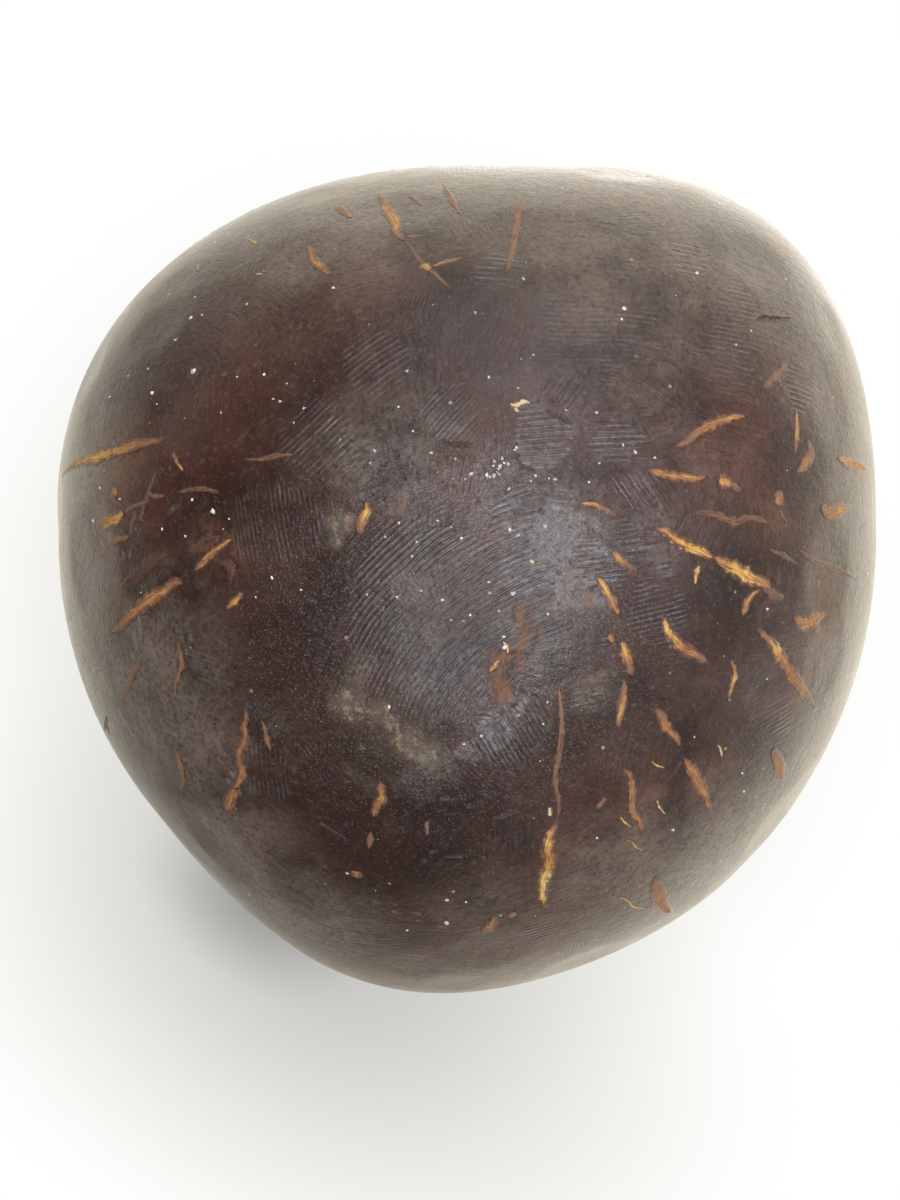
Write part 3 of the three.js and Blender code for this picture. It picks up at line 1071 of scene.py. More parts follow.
def curve_through(points: np.ndarray, count: int) -> np.ndarray:
    """Runs a smooth curve through points, evenly stepped along its length.

    Each stretch is a cubic whose slope at a point is half the step between that point's neighbours.

    Args:
        points: The points, one row each.
        count: How many steps to give back.

    Returns:
        Points on the curve, one row each.
    """
    ends = np.concatenate([2 * points[:1] - points[1:2], points, 2 * points[-1:] - points[-2:-1]])
    t = np.linspace(0, 1, 12, endpoint=False)[None, :, None]
    a, b, c, d = (ends[i : len(ends) - 3 + i][:, None, :] for i in range(4))
    fine = 0.5 * (2 * b + (c - a) * t + (2 * a - 5 * b + 4 * c - d) * t**2 + (3 * b - a - 3 * c + d) * t**3)
    fine = np.concatenate([fine.reshape(-1, points.shape[1]), points[-1:]])
    length = distances(fine)
    at = np.linspace(0, length[-1], count)
    return np.stack([np.interp(at, length, column) for column in fine.T], axis=1)


@dataclass
class FibreInlay:
    """Fibres that show in the scraped shell, as thin domed slivers let into its surface.

    Those of the list lie at their picture points. The hidden ones lie round the nut's widest ring, past what
    the picture shows, and run up the nut with a slight lean.
    """

    sight: Sight
    form: ShellForm
    name: str
    fibres: tuple
    hidden: int = 0
    step: float = 1.1
    wander: float = 0.25
    hidden_points: int = 14
    hidden_feet_mm: tuple = (43, 54)
    hidden_reach_mm: tuple = (3, 9)
    hidden_lean: tuple = (-0.07, 0.07)
    hidden_half_mm: tuple = (0.18, 0.5)
    hidden_tones: tuple = (0.4, 0.72)
    least_lift: float = 0.03 * MM
    most_lift: float = 0.08 * MM
    lift_share: float = 0.1
    border_spread: float = 2.5

    def seen_path(self, fibre: Fibre, rng: np.random.Generator) -> tuple:
        """Finds a fibre's place on the shell from its picture points.

        Args:
            fibre: The fibre.
            rng: The draws for its wandering.

        Returns:
            Points, normals and half width.
        """
        path = np.array(fibre.path, float).reshape(-1, 2)
        reach = np.hypot(*np.diff(path, axis=0).T).sum()
        count = max(8, int(reach / self.step))
        line = curve_through(path, count)
        line += np.stack([smoothed(rng, count, self.wander), smoothed(rng, count, self.wander)], axis=1)
        hits = [hit for hit in map(self.sight.hit, line) if hit[0] is not None]
        points, normals = self.sight.arrays(hits)
        half = fibre.width / 2 * self.sight.scale(Vector(points[len(points) // 2]))
        return points, normals, half * self.border_spread

    def side_path(self, rng: np.random.Generator) -> tuple:
        """Lays a short fibre on the wall where the picture doesn't show it.

        Args:
            rng: The draws for its place and size.

        Returns:
            Points, normals and half width.
        """
        azimuth = rng.uniform(0, TURN)
        low, reach = rng.uniform(*self.hidden_feet_mm) * MM, rng.uniform(*self.hidden_reach_mm) * MM
        lean, count = rng.uniform(*self.hidden_lean), self.hidden_points
        heights = np.linspace(low, low + reach, count)
        turns = azimuth + np.linspace(-lean, lean, count) + smoothed(rng, count, 0.003)
        hits = []
        for height, turn in zip(heights, turns):
            out = Vector((math.cos(turn), math.sin(turn), 0))
            hits.append(self.sight.drop(out * 2 * self.form.radius + Vector((0, 0, height)), -out))
        points, normals = self.sight.arrays(hits)
        return points, normals, rng.uniform(*self.hidden_half_mm) * MM * self.border_spread

    def sliver(self, path: tuple, tones: tuple, cover: float, blunt: bool, rng: np.random.Generator) -> dict:
        """Builds one sliver along a path on the shell.

        Its half width follows about the root of a sine along it, or a squarer arc where the ends are blunt.
        Across, its top is a flattened arc, and its edges and underside are let into the shell.

        Args:
            path: Points, normals and half width.
            tones: Tones from 0 to 1, spread evenly along it.
            cover: How strongly it covers the shell.
            blunt: Whether its ends are blunt.
            rng: The draws for its unevenness.

        Returns:
            Points, faces, and for each point its tone, its heart (1 in the middle, 0 at the edges), its
            cover, and its run: metres along, metres across and a number of the fibre's own.
        """
        p, n, half_width = path
        way = unit(np.gradient(p, axis=0))
        side = unit(np.cross(n, way))
        share = np.linspace(0, 1, len(p))
        taper = (1 - (2 * share - 1) ** 4) ** 0.5 if blunt else np.sin(math.pi * share) ** 0.55
        wobble = np.clip(1 + smoothed(rng, len(p), 0.16), 0.6, 1.5)
        half = half_width * np.maximum(taper * wobble, 0.06)
        lift = np.clip(self.lift_share * half, self.least_lift, self.most_lift)
        across = np.array([-1, -0.72, -0.36, 0, 0.36, 0.72, 1, 0])
        up = np.array([-1.6, 0.15, 0.7, 1, 0.7, 0.15, -1.6, -2.4])
        rings = p[:, None] + side[:, None] * (half[:, None] * across)[..., None]
        rings = rings + n[:, None] * (lift[:, None] * up)[..., None]
        length = distances(p)
        tone = np.interp(share, np.linspace(0, 1, len(tones)), tones) + smoothed(rng, len(p), 0.035)
        ends = np.clip(np.minimum(share, 1 - share) * 9, 0, 1)
        shape = rings.shape[:2]
        own = np.full(shape, rng.uniform(0, 1))
        run = [np.broadcast_to(length[:, None], shape), half[:, None] * across, own]
        return {
            "points": rings.reshape(-1, 3),
            "faces": tube_faces(len(rings), len(across), turned=True),
            "tone": np.repeat(tone, len(across)),
            "heart": (ends[:, None] * (1 - np.abs(across))).ravel(),
            "cover": np.full(rings[..., 0].size, cover),
            "run": np.stack(run, axis=-1).reshape(-1, 3),
        }

    def build(self) -> Object:
        """Makes all slivers as one piece with tone, heart, cover and run attributes.

        Returns:
            The fibre object.
        """
        rng = np.random.default_rng(SEED + len(self.fibres))
        made = []
        for fibre in self.fibres:
            tones = [tone / 100 for tone in fibre.tones]
            made.append(self.sliver(self.seen_path(fibre, rng), tones, fibre.cover, fibre.blunt, rng))
        for _ in range(self.hidden):
            tones = rng.uniform(*self.hidden_tones, 3)
            made.append(self.sliver(self.side_path(rng), tones, 1.0, False, rng))
        obj = mesh_from(self.name, *joined([(part["points"], part["faces"]) for part in made]))
        for key in ("tone", "heart", "cover", "run"):
            write_points(obj, key, np.concatenate([part[key] for part in made]))
        log.info("%s: %d slivers", self.name, len(made))
        return obj


@dataclass
class GrainScatter:
    """Pale grains of lime stuck to the shell: those that the picture shows, and finer ones all round."""

    sight: Sight
    form: ShellForm
    scattered: int = 260
    sides: int = 7
    spread: float = 1.25
    finest: float = 0.03 * MM
    finer: float = 0.09 * MM

    def places(self, rng: np.random.Generator) -> tuple:
        """Finds the grains on the shell.

        Args:
            rng: The draws for the scattered ones.

        Returns:
            Their points, normals and radii.
        """
        hits = [self.sight.hit((grain.x, grain.y)) for grain in GRAINS]
        radii = [grain.radius * self.spread * self.sight.scale(hit[0]) for grain, hit in zip(GRAINS, hits)]
        middle = Vector((0, 0, self.form.equator))
        turns = rng.uniform(0, TURN, self.scattered)
        falls = rng.uniform(-0.99, 0.3, self.scattered)
        for turn, fall in zip(turns, falls):
            level = math.sqrt(1 - fall**2)
            out = Vector((level * math.cos(turn), level * math.sin(turn), fall))
            hits.append(self.sight.drop(middle + out * 2 * self.form.radius, -out))
            radii.append(self.finest + self.finer * rng.random() ** 2)
        return *self.sight.arrays(hits), np.array(radii)

    def build(self) -> Object:
        """Makes every grain as a low uneven dome: two rings of points and a top, closed below.

        Returns:
            The grain object.
        """
        rng = np.random.default_rng(SEED + 7)
        points, normals, radii = self.places(rng)
        count, sides = len(points), self.sides
        east = unit(np.cross(normals, np.array([0.31, 0.52, 0.79])))
        north = np.cross(normals, east)
        turn = circle(sides)[None, :] + rng.uniform(0, 6, (count, 1))
        uneven = rng.uniform(0.45, 1.45, (count, sides)) * radii[:, None]
        flat = east[:, None] * np.cos(turn)[..., None] + north[:, None] * np.sin(turn)[..., None]
        flat = flat * uneven[..., None]
        up = normals[:, None] * radii[:, None, None]
        low = points[:, None] + flat - up * 0.2
        mid = points[:, None] + flat * 0.75 + up * 0.42
        top = points[:, None] + up * 0.68
        foot = points[:, None] - up * 0.3
        body = np.concatenate([low, mid, top, foot], axis=1)
        pairs = [(i, (i + 1) % sides) for i in range(sides)]
        walls = [(i, j, j + sides, i + sides) for i, j in pairs]
        walls += [(i + sides, j + sides, 2 * sides) for i, j in pairs]
        walls += [(j, i, 2 * sides + 1) for i, j in pairs]
        step = 2 * sides + 2
        faces = [tuple(base + i for i in wall) for base in range(0, count * step, step) for wall in walls]
        log.info("grains: %d", count)
        return mesh_from("lime_grains", body, faces)


class StainKind(Enum):
    """What discolours the scraped shell, and the painted highlight, painted shade and painted rim reflection
    laid with film, soot and dust.
    """

    DUST_AND_RIM_SHEEN = "dust"
    RED = "red"
    OLIVE = "olive"
    RUST = "rust"
    FILM_AND_HIGHLIGHT = "film_and_highlight"
    SOOT_AND_SHADE = "soot_and_shade"


@dataclass(frozen=True)
class Stain:
    """A soft-edged discoloured place, with painted light in it for film, soot and dust: its middle in the
    picture, reach in millimetres and strength.
    """

    kind: StainKind
    middle: tuple
    reach: float
    strength: float


# Film stains are grey film and painted highlight, soot stains soot and painted shade, dust stains dust and a
# painted reflection round the rim.
STAINS = tuple(
    Stain(kind, (x, y), reach, strength)
    for kind, rows in (
        (StainKind.RED, (
            (225, 350, 17, 0.5), (330, 310, 12, 0.35), (180, 400, 9, 0.3), (140, 480, 14, 0.45),
            (760, 440, 12, 0.3), (770, 500, 8, 0.3), (620, 800, 9, 0.25),
        )),
        (StainKind.OLIVE, (
            (352, 703, 3.0, 0.8), (376, 712, 2.2, 0.7), (392, 724, 1.6, 0.7), (409, 742, 3.0, 1.0),
            (424, 752, 2.4, 0.8), (383, 735, 6.5, 0.22), (343, 524, 1.9, 0.7), (338, 540, 1.3, 0.6),
        )),
        (StainKind.DUST_AND_RIM_SHEEN, (
            (364, 668, 2.2, 0.45), (417, 692, 1.5, 0.4), (352, 772, 1.7, 0.35), (375, 787, 1.7, 0.4),
            (403, 779, 2.0, 0.35), (432, 766, 3.2, 0.5), (380, 445, 9, 0.35), (160, 700, 17, 0.6),
            (300, 265, 18, 0.22), (640, 275, 18, 0.24), (100, 470, 8, 0.35), (235, 830, 12, 0.42),
            (300, 905, 12, 0.6), (700, 850, 12, 0.45), (590, 690, 3.5, 0.5), (625, 865, 11, 0.4),
            (480, 900, 9, 0.25),
        )),
        (StainKind.RUST, (
            (517, 612, 1.6, 0.8), (523, 624, 1.8, 0.9), (526, 641, 1.8, 0.9), (512, 655, 2.0, 0.9),
            (500, 667, 2.2, 1.0), (498, 680, 1.5, 0.8), (505, 694, 1.5, 0.9), (357, 521, 1.5, 0.8),
            (402, 507, 1.9, 0.5), (569, 575, 1.4, 0.5), (587, 600, 1.2, 0.5), (668, 548, 1.6, 0.4),
            (564, 846, 2.4, 0.45), (782, 519, 1.6, 0.4), (765, 592, 4, 0.3), (765, 530, 5, 0.2),
            (830, 605, 6, 0.4), (800, 690, 5, 0.35), (700, 780, 5, 0.25), (640, 800, 4, 0.2),
            (120, 455, 6, 0.35), (118, 615, 6, 0.3), (220, 550, 5, 0.35), (720, 455, 5, 0.25),
        )),
        (StainKind.FILM_AND_HIGHLIGHT, (
            (175, 508, 1.3, 0.5), (193, 371, 1.1, 0.4), (445, 660, 7, 0.5), (520, 480, 8, 0.65),
            (520, 620, 6, 0.5), (385, 470, 7, 0.4), (655, 545, 6, 0.5), (600, 440, 13, 0.3),
            (425, 775, 4, 0.4),
        )),
        (StainKind.SOOT_AND_SHADE, (
            (372, 655, 7, 0.45), (285, 655, 12, 0.7), (400, 835, 15, 0.85), (520, 830, 6, 0.5),
            (625, 725, 5, 0.35), (180, 520, 12, 0.2), (178, 335, 17, 0.7), (260, 350, 14, 0.35),
            (472, 335, 12, 0.6), (738, 600, 11, 0.8), (800, 465, 8, 0.8),
        )),
    )
    for x, y, reach, strength in rows
)


@dataclass(frozen=True)
class Patch:
    """A place with straight edges on a flat that the scraper leaves: film patches are painted highlight with
    grey film, soot patches are painted shade. Its corners turn one way round.
    """

    kind: StainKind
    corners: tuple
    strength: float
    soft: float = 0.5


PATCHES = (
    Patch(
        StainKind.FILM_AND_HIGHLIGHT, ((503, 522), (548, 500), (598, 520), (618, 566), (606, 608), (534, 606), (500, 572)),
        0.8, 1.1,
    ),
    Patch(StainKind.SOOT_AND_SHADE, ((536, 610), (606, 612), (612, 646), (598, 672), (556, 688), (530, 656)), 0.5, 0.3),
    Patch(StainKind.FILM_AND_HIGHLIGHT, ((452, 754), (508, 690), (530, 700), (510, 742), (474, 764)), 0.9, 0.8),
    Patch(StainKind.SOOT_AND_SHADE, ((604, 680), (642, 662), (652, 706), (636, 735), (588, 735)), 0.4),
)


@dataclass(frozen=True)
class ScraperPass:
    """One field of chatter lines left by the scraper.

    Fields: its middle in the picture, its lines' angle there, its reach along and across them in mm, the
    lines' pitch in picture points, how clear they are, and how far off their arcs' common centre lies in mm,
    to the right of a line that runs upwards. Lines with a far centre are straight.
    """

    middle: tuple
    angle: float
    along: float
    across: float
    pitch: float = 5.4
    clear: float = 1.0
    hub: float = 900.0


SCRAPER_PASSES = tuple(ScraperPass(*row) for row in (
    ((600, 320), 0, 9, 9, 4.8, 0.35),
    ((480, 600), 36, 17, 14, 5.4, 1.5, 29),
    ((375, 362), 37, 4.5, 5.5, 5.4, 0.45),
    ((315, 435), 42, 5.5, 5, 5.2, 0.4),
    ((270, 525), 100, 5.5, 7.5, 4.4, 0.38),
    ((735, 330), -4, 6.5, 11, 4.6, 0.27),
    ((797, 390), -8, 3, 4, 4.6, 0.5),
    ((690, 262), -2, 3.5, 5, 4.6, 0.4),
    ((538, 435), 4, 4.2, 4.8, 5.6, 1.5),
    ((630, 440), 6, 4.8, 3.6, 5.6, 1.3),
    ((457, 418), 50, 3.2, 4.6, 4.6, 1.1),
    ((603, 560), 11, 7.5, 6, 5.4, 1.2),
    ((655, 600), 16, 4.5, 6, 5.2, 0.9),
    ((516, 728), -58, 3.8, 8, 5.0, 1.4),
    ((582, 701), 15, 3, 2.2, 5.4, 1.0),
    ((780, 715), 25, 3, 4, 4.2, 0.4),
    ((270, 770), 92, 5, 5, 4.4, 0.35),
    ((165, 640), 85, 4, 3, 4.4, 0.45),
    ((495, 272), -5, 4.5, 3, 4.6, 0.45),
))


class Chatter:
    """Writes on the bowl's points which scraper pass each lies in.

    A pass's share at a point is its distance from the pass's middle over the pass's reach. The pass with the
    least share has the point. Its clearness fades to nothing where its share nears 1 and where a second
    pass's share is as small. Lengths are in millimetres.
    """

    depth = 12.0
    fade = 0.25
    seam = 0.13
    wild_later = 0.35

    def __init__(self, obj: Object) -> None:
        """Reads the bowl's points.

        Args:
            obj: The bowl.
        """
        self.obj = obj
        flat = np.empty(len(obj.data.vertices) * 3)
        obj.data.vertices.foreach_get("co", flat)
        self.points = flat.reshape(-1, 3) / MM
        self.best = np.full(len(self.points), 9.0)
        self.second = np.full(len(self.points), 9.0)
        self.hub = np.zeros_like(self.points)
        self.comb = np.ones_like(self.points)

    def lay(
        self, middle: Vector, axes: tuple, reach: tuple, comb: tuple, hub: float, later: float = 0.0
    ) -> None:
        """Lays one pass.

        Args:
            middle: Its middle in metres.
            axes: Unit directions along its lines, across them and off the surface.
            reach: Its reach along and across.
            comb: Its pitch and how clear it is.
            hub: How far off the centre of its arcs lies.
            later: What is added to its share, so that others come before it.
        """
        away = self.points - np.array(middle) / MM
        oval = [away @ np.array(axis) / size for axis, size in zip(axes, (*reach, self.depth))]
        share = np.sqrt(sum(part**2 for part in oval)) + later
        first = share < self.best
        self.second = np.where(first, self.best, np.minimum(self.second, share))
        self.best = np.where(first, share, self.best)
        self.hub[first] = np.array(middle) / MM - np.array(axes[1]) * hub
        self.comb[first, :2] = comb

    def picture_passes(self, sight: Sight) -> None:
        """Lays the passes that the picture shows.

        Args:
            sight: Finds their places on the bowl.
        """
        for scrape in SCRAPER_PASSES:
            point, normal = sight.hit(scrape.middle)
            along, across = (sight.along_surface(normal, scrape.angle + more) for more in (0, 90))
            turn = math.radians(scrape.angle + 90)
            x, y = scrape.middle
            ahead = sight.spot((x + math.cos(turn) * scrape.pitch * 4, y - math.sin(turn) * scrape.pitch * 4))
            pitch = (ahead - point).length / MM / 4
            reach, comb = (scrape.along, scrape.across), (pitch, scrape.clear)
            self.lay(point, (along, across, normal), reach, comb, scrape.hub)

    def wild_passes(self, form: ShellForm, count: int = 300) -> None:
        """Lays faint passes of any direction all over the outside, under those of the picture.

        Args:
            form: The nut.
            count: How many.
        """
        rng = np.random.default_rng(SEED)
        azimuth = rng.uniform(0, TURN, count)
        polar = np.arccos(rng.uniform(-0.75, 1.0, count))
        for middle in form.point(azimuth, polar, 0):
            normal = (Vector(middle) - Vector((0, 0, form.equator))).normalized()
            side = normal.cross(Vector((0.3, 0.2, 0.93))).normalized()
            turn = rng.uniform(0, math.pi)
            along = side * math.cos(turn) + normal.cross(side) * math.sin(turn)
            comb = (rng.uniform(0.5, 0.75), rng.uniform(0.06, 0.32))
            hub = rng.choice([24, 40, 90, 900])
            axes = (along, normal.cross(along), normal)
            self.lay(middle, axes, rng.uniform(4, 8, 2), comb, hub, self.wild_later)

    def write(self) -> None:
        """Writes the hubs, and the pitch, clearness and fading at seams, to the bowl's points."""
        edge = np.clip((1.0 - self.best) / self.fade, 0, 1)
        gap = np.clip((self.second - self.best - self.seam) / self.fade, 0, 1)
        self.comb[:, 1] *= edge * edge * (3 - 2 * edge) * gap
        self.comb[:, 2] = gap
        write_points(self.obj, "hub", self.hub)
        write_points(self.obj, "comb", self.comb)


class Nodes:
    """Shorthand for adding nodes to one tree. Inputs take a value or another node's output."""

    def __init__(self, tree: NodeTree) -> None:
        """Keeps the tree."""
        self.tree = tree

    def link(self, source: NodeSocket, target: NodeSocket) -> None:
        """Joins an output to an input."""
        self.tree.links.new(source, target)

    def fill(self, socket: NodeSocket, value: object) -> None:
        """Sets an input to a value, or joins an output to it.

        Args:
            socket: The input.
            value: The value or output.
        """
        if isinstance(value, NodeSocket):
            self.link(value, socket)
        else:
            socket.default_value = value

    def node(self, kind: str, inputs: object = (), **settings: object) -> Node:
        """Adds a node.

        Args:
            kind: The node's type.
            inputs: Values or outputs for its inputs, in their order, or by name or number.
            settings: Its settings by name.

        Returns:
            The node.
        """
        node = self.tree.nodes.new(kind)
        for key, value in settings.items():
            setattr(node, key, value)
        for key, value in inputs.items() if isinstance(inputs, dict) else enumerate(inputs):
            self.fill(node.inputs[key], value)
        return node

    def math(self, operation: str, *values: object, clamp: bool = False) -> NodeSocket:
        """Adds a Math node."""
        return self.node("ShaderNodeMath", values, operation=operation, use_clamp=clamp).outputs[0]

    def times(self, a: object, b: object, clamp: bool = False) -> NodeSocket:
        """Multiplies two numbers."""
        return self.math("MULTIPLY", a, b, clamp=clamp)

    def line(self, value: object, slope: object, start: object, clamp: bool = False) -> NodeSocket:
        """Gives value x slope + start."""
        return self.math("MULTIPLY_ADD", value, slope, start, clamp=clamp)

    def plus(self, a: object, b: object) -> NodeSocket:
        """Adds two numbers."""
        return self.math("ADD", a, b)

    def less(self, a: object, b: object) -> NodeSocket:
        """Gives a - b."""
        return self.math("SUBTRACT", a, b)

    def over(self, a: object, b: object) -> NodeSocket:
        """Gives a / b."""
        return self.math("DIVIDE", a, b)

    def most(self, a: object, b: object) -> NodeSocket:
        """Gives the larger of two numbers."""
        return self.math("MAXIMUM", a, b)

    def total(self, first: tuple, *more: tuple) -> NodeSocket:
        """Adds up numbers times their weights."""
        return reduce(lambda so_far, part: self.line(*part, so_far), more, self.times(*first))

    def vector(self, operation: str, *values: object) -> NodeSocket:
        """Adds a Vector Math node and gives its number for products and lengths, else its vector."""
        result = "Value" if operation in ("DOT_PRODUCT", "DISTANCE", "LENGTH") else "Vector"
        return self.node("ShaderNodeVectorMath", values, operation=operation).outputs[result]

    def scaled(self, vector: object, factor: float) -> NodeSocket:
        """Multiplies a vector by a number."""
        return self.node("ShaderNodeVectorMath", {0: vector, "Scale": factor}, operation="SCALE").outputs[0]

    def xyz(self, x: object, y: object, z: object = 0.0) -> NodeSocket:
        """Joins three numbers to a vector."""
        return self.node("ShaderNodeCombineXYZ", (x, y, z)).outputs[0]

    def parts(self, vector: object) -> tuple:
        """Splits a vector into its three numbers."""
        return tuple(self.node("ShaderNodeSeparateXYZ", (vector,)).outputs)

    def band(
        self, value: object, low: object, high: object, first: object = 0.0, last: object = 1.0
    ) -> NodeSocket:
        """Maps a value from low..high to first..last, softly and clamped."""
        inputs = (value, low, high, first, last)
        return self.node("ShaderNodeMapRange", inputs, interpolation_type="SMOOTHSTEP").outputs[0]

    def mix(self, share: object, a: object, b: object) -> NodeSocket:
        """Mixes two colours by a share."""
        return self.node("ShaderNodeMix", {0: share, 6: a, 7: b}, data_type="RGBA").outputs[2]

    def coats(self, colour: object, *coats: tuple) -> NodeSocket:
        """Lays coats, each a share and a colour, over a first colour in turn."""
        return reduce(lambda below, coat: self.mix(coat[0], below, coat[1]), coats, colour)

    def blend(self, share: object, a: object, b: object) -> NodeSocket:
        """Mixes two numbers by a share."""
        return self.node("ShaderNodeMix", {0: share, 2: a, 3: b}, data_type="FLOAT").outputs[0]

    def noise(self, vector: object, scale: float, detail: float = 4, rough: float = 0.55) -> NodeSocket:
        """Adds a noise texture and gives its value."""
        inputs = {"Vector": vector, "Scale": scale, "Detail": detail, "Roughness": rough}
        return self.node("ShaderNodeTexNoise", inputs).outputs[0]


class Paint(Nodes):
    """A material being built round one Principled shader."""

    def __init__(self, name: str) -> None:
        """Starts the material.

        Args:
            name: Its name.
        """
        self.material = bpy.data.materials.new(name)
        self.material.use_nodes = True
        super().__init__(self.material.node_tree)
        self.shader = self.tree.nodes["Principled BSDF"]
        self.where = self.node("ShaderNodeTexCoord").outputs["Object"]
        self.spot = self.scaled(self.where, 1 / MM)

    def placed(self, group: NodeTree, **inputs: object) -> NodeOutputs:
        """Places a shared effect and gives its outputs."""
        return self.node("ShaderNodeGroup", inputs, node_tree=group).outputs

    def written(self, name: str) -> NodeOutputs:
        """Reads an attribute that is written on the piece's points and gives its outputs."""
        return self.node("ShaderNodeAttribute", attribute_name=name).outputs

    def finish(
        self, colour: object, rough: object, height: object = 0.0, distance: float = 0.0, **more: object
    ) -> Material:
        """Joins the results to the shader.

        Args:
            colour: The base colour.
            rough: The roughness.
            height: The relief from 0 to 1.
            distance: How far the relief rises, in metres.
            more: Other inputs of the shader.

        Returns:
            The material.
        """
        for name, value in {"Base_Color": colour, "Roughness": rough, **more}.items():
            self.fill(self.shader.inputs[name.replace("_", " ")], value)
        if distance:
            bump = self.node("ShaderNodeBump", {"Strength": 1.0, "Distance": distance, "Height": height})
            self.link(bump.outputs[0], self.shader.inputs["Normal"])
        return self.material


def effect(name: str, vectors: tuple, numbers: tuple, results: tuple) -> tuple:
    """Starts a shared effect.

    Args:
        name: The group's name.
        vectors: Names of its vector inputs.
        numbers: Names of its number inputs.
        results: Names of its number outputs.

    Returns:
        The node shorthand on its tree, its inputs by name and its outputs by name.
    """
    tree = bpy.data.node_groups.new(name, "ShaderNodeTree")
    sockets = ((vectors, "INPUT", "Vector"), (numbers, "INPUT", "Float"), (results, "OUTPUT", "Float"))
    for names, way, kind in sockets:
        for socket in names:
            tree.interface.new_socket(socket, in_out=way, socket_type=f"NodeSocket{kind}")
    source = tree.nodes.new("NodeGroupInput")
    result = tree.nodes.new("NodeGroupOutput")
    return Nodes(tree), source.outputs, result.inputs


@cache
def scraper_group() -> NodeTree:
    """Makes the shared chatter-line effect: crests on arcs round the hub of the pass that a point lies in.

    Each line's crest is a power of a half wave of the distance from the hub, and each has its own strength.
    Comb holds the lines' pitch, how clear they are, and 0 where two passes meet to 1 inside one. Streaks are
    fine and uneven and follow the same arcs.

    Returns:
        The node group.
    """
    work, given, out = effect(
        "scraper_lines", ("Position", "Hub", "Comb"), ("Warp", "Breaks"), ("Height", "Streaks")
    )
    pitch, clear, inner = work.parts(given["Comb"])
    reach = work.vector("DISTANCE", given["Position"], given["Hub"])
    turns = work.line(given["Warp"], 2.6, work.over(reach, pitch))
    own = work.vector("DOT_PRODUCT", given["Hub"], (1.7, 2.9, 4.3))
    number = work.plus(work.math("FLOOR", own), work.math("FLOOR", turns))
    drawn = work.node("ShaderNodeTexWhiteNoise", {"W": number}, noise_dimensions="1D").outputs["Value"]
    strength = work.band(drawn, -0.3, 0.7, 0.25)
    wave = work.math("COSINE", work.times(turns, TURN))
    crest = work.math("POWER", work.line(wave, -0.5, 0.5), 2.6)
    faded = work.plus(clear, work.line(given["Warp"], 0.8, -0.4))
    shown = work.times(work.band(faded, 0.0, 0.3), clear)
    shown = work.times(work.band(given["Breaks"], 0.34, 0.54, 0.2), shown)
    work.link(work.times(work.times(crest, strength), shown), out["Height"])
    lane = work.vector("ADD", work.scaled(given["Position"], 0.45), work.xyz(work.times(reach, 3.4), 0.0))
    work.link(work.blend(work.band(inner, 0.0, 0.7), 0.5, work.noise(lane, 1.0, 3, 0.65)), out["Streaks"])
    return work.tree


@cache
def stain_group() -> NodeTree:
    """Makes the shared stain effect: a ragged round mask that fades away from a centre.

    Returns:
        The node group.
    """
    work, given, out = effect("stain", ("Position", "Centre"), ("Reach", "Strength", "Ragged"), ("Mask",))
    share = work.over(work.vector("DISTANCE", given["Position"], given["Centre"]), given["Reach"])
    edge = work.plus(share, given["Ragged"])
    work.link(work.band(edge, 1.25, 0.15, 0.0, given["Strength"]), out["Mask"])
    return work.tree


@cache
def edge_group() -> NodeTree:
    """Makes the shared straight-edge effect: what is inside an edge keeps its mask, softly and raggedly.

    Returns:
        The node group.
    """
    work, given, out = effect(
        "straight_edge", ("Position", "Point", "Inward"), ("Soft", "Ragged", "Mask"), ("Mask",)
    )
    away = work.vector("SUBTRACT", given["Position"], given["Point"])
    depth = work.over(work.vector("DOT_PRODUCT", away, given["Inward"]), given["Soft"])
    inside = work.band(work.plus(depth, given["Ragged"]), -0.5, 0.5)
    work.link(work.times(inside, given["Mask"]), out["Mask"])
    return work.tree


@cache
def mottle_group() -> NodeTree:
    """Makes the shared mottle of shell: clouds of four sizes, and grain that runs up the nut.

    Returns:
        The node group.
    """
    work, given, out = effect("shell_mottle", ("Position",), (), ("Large", "Mid", "Fine", "Dust", "Grain"))
    where = given["Position"]
    x, y, z = work.parts(where)
    radius = work.plus(work.math("SQRT", work.plus(work.times(x, x), work.times(y, y))), 0.004)
    spoke = work.xyz(work.over(x, radius), work.over(y, radius), work.times(z, 9.0))
    clouds = {
        "Large": (where, 26, 3, 0.5),
        "Mid": (where, 105, 5, 0.6),
        "Fine": (where, 640, 5, 0.65),
        "Dust": (where, 2100, 2, 0.6),
        "Grain": (spoke, 26, 6, 0.62),
    }
    for name, cloud in clouds.items():
        work.link(work.noise(*cloud), out[name])
    return work.tree


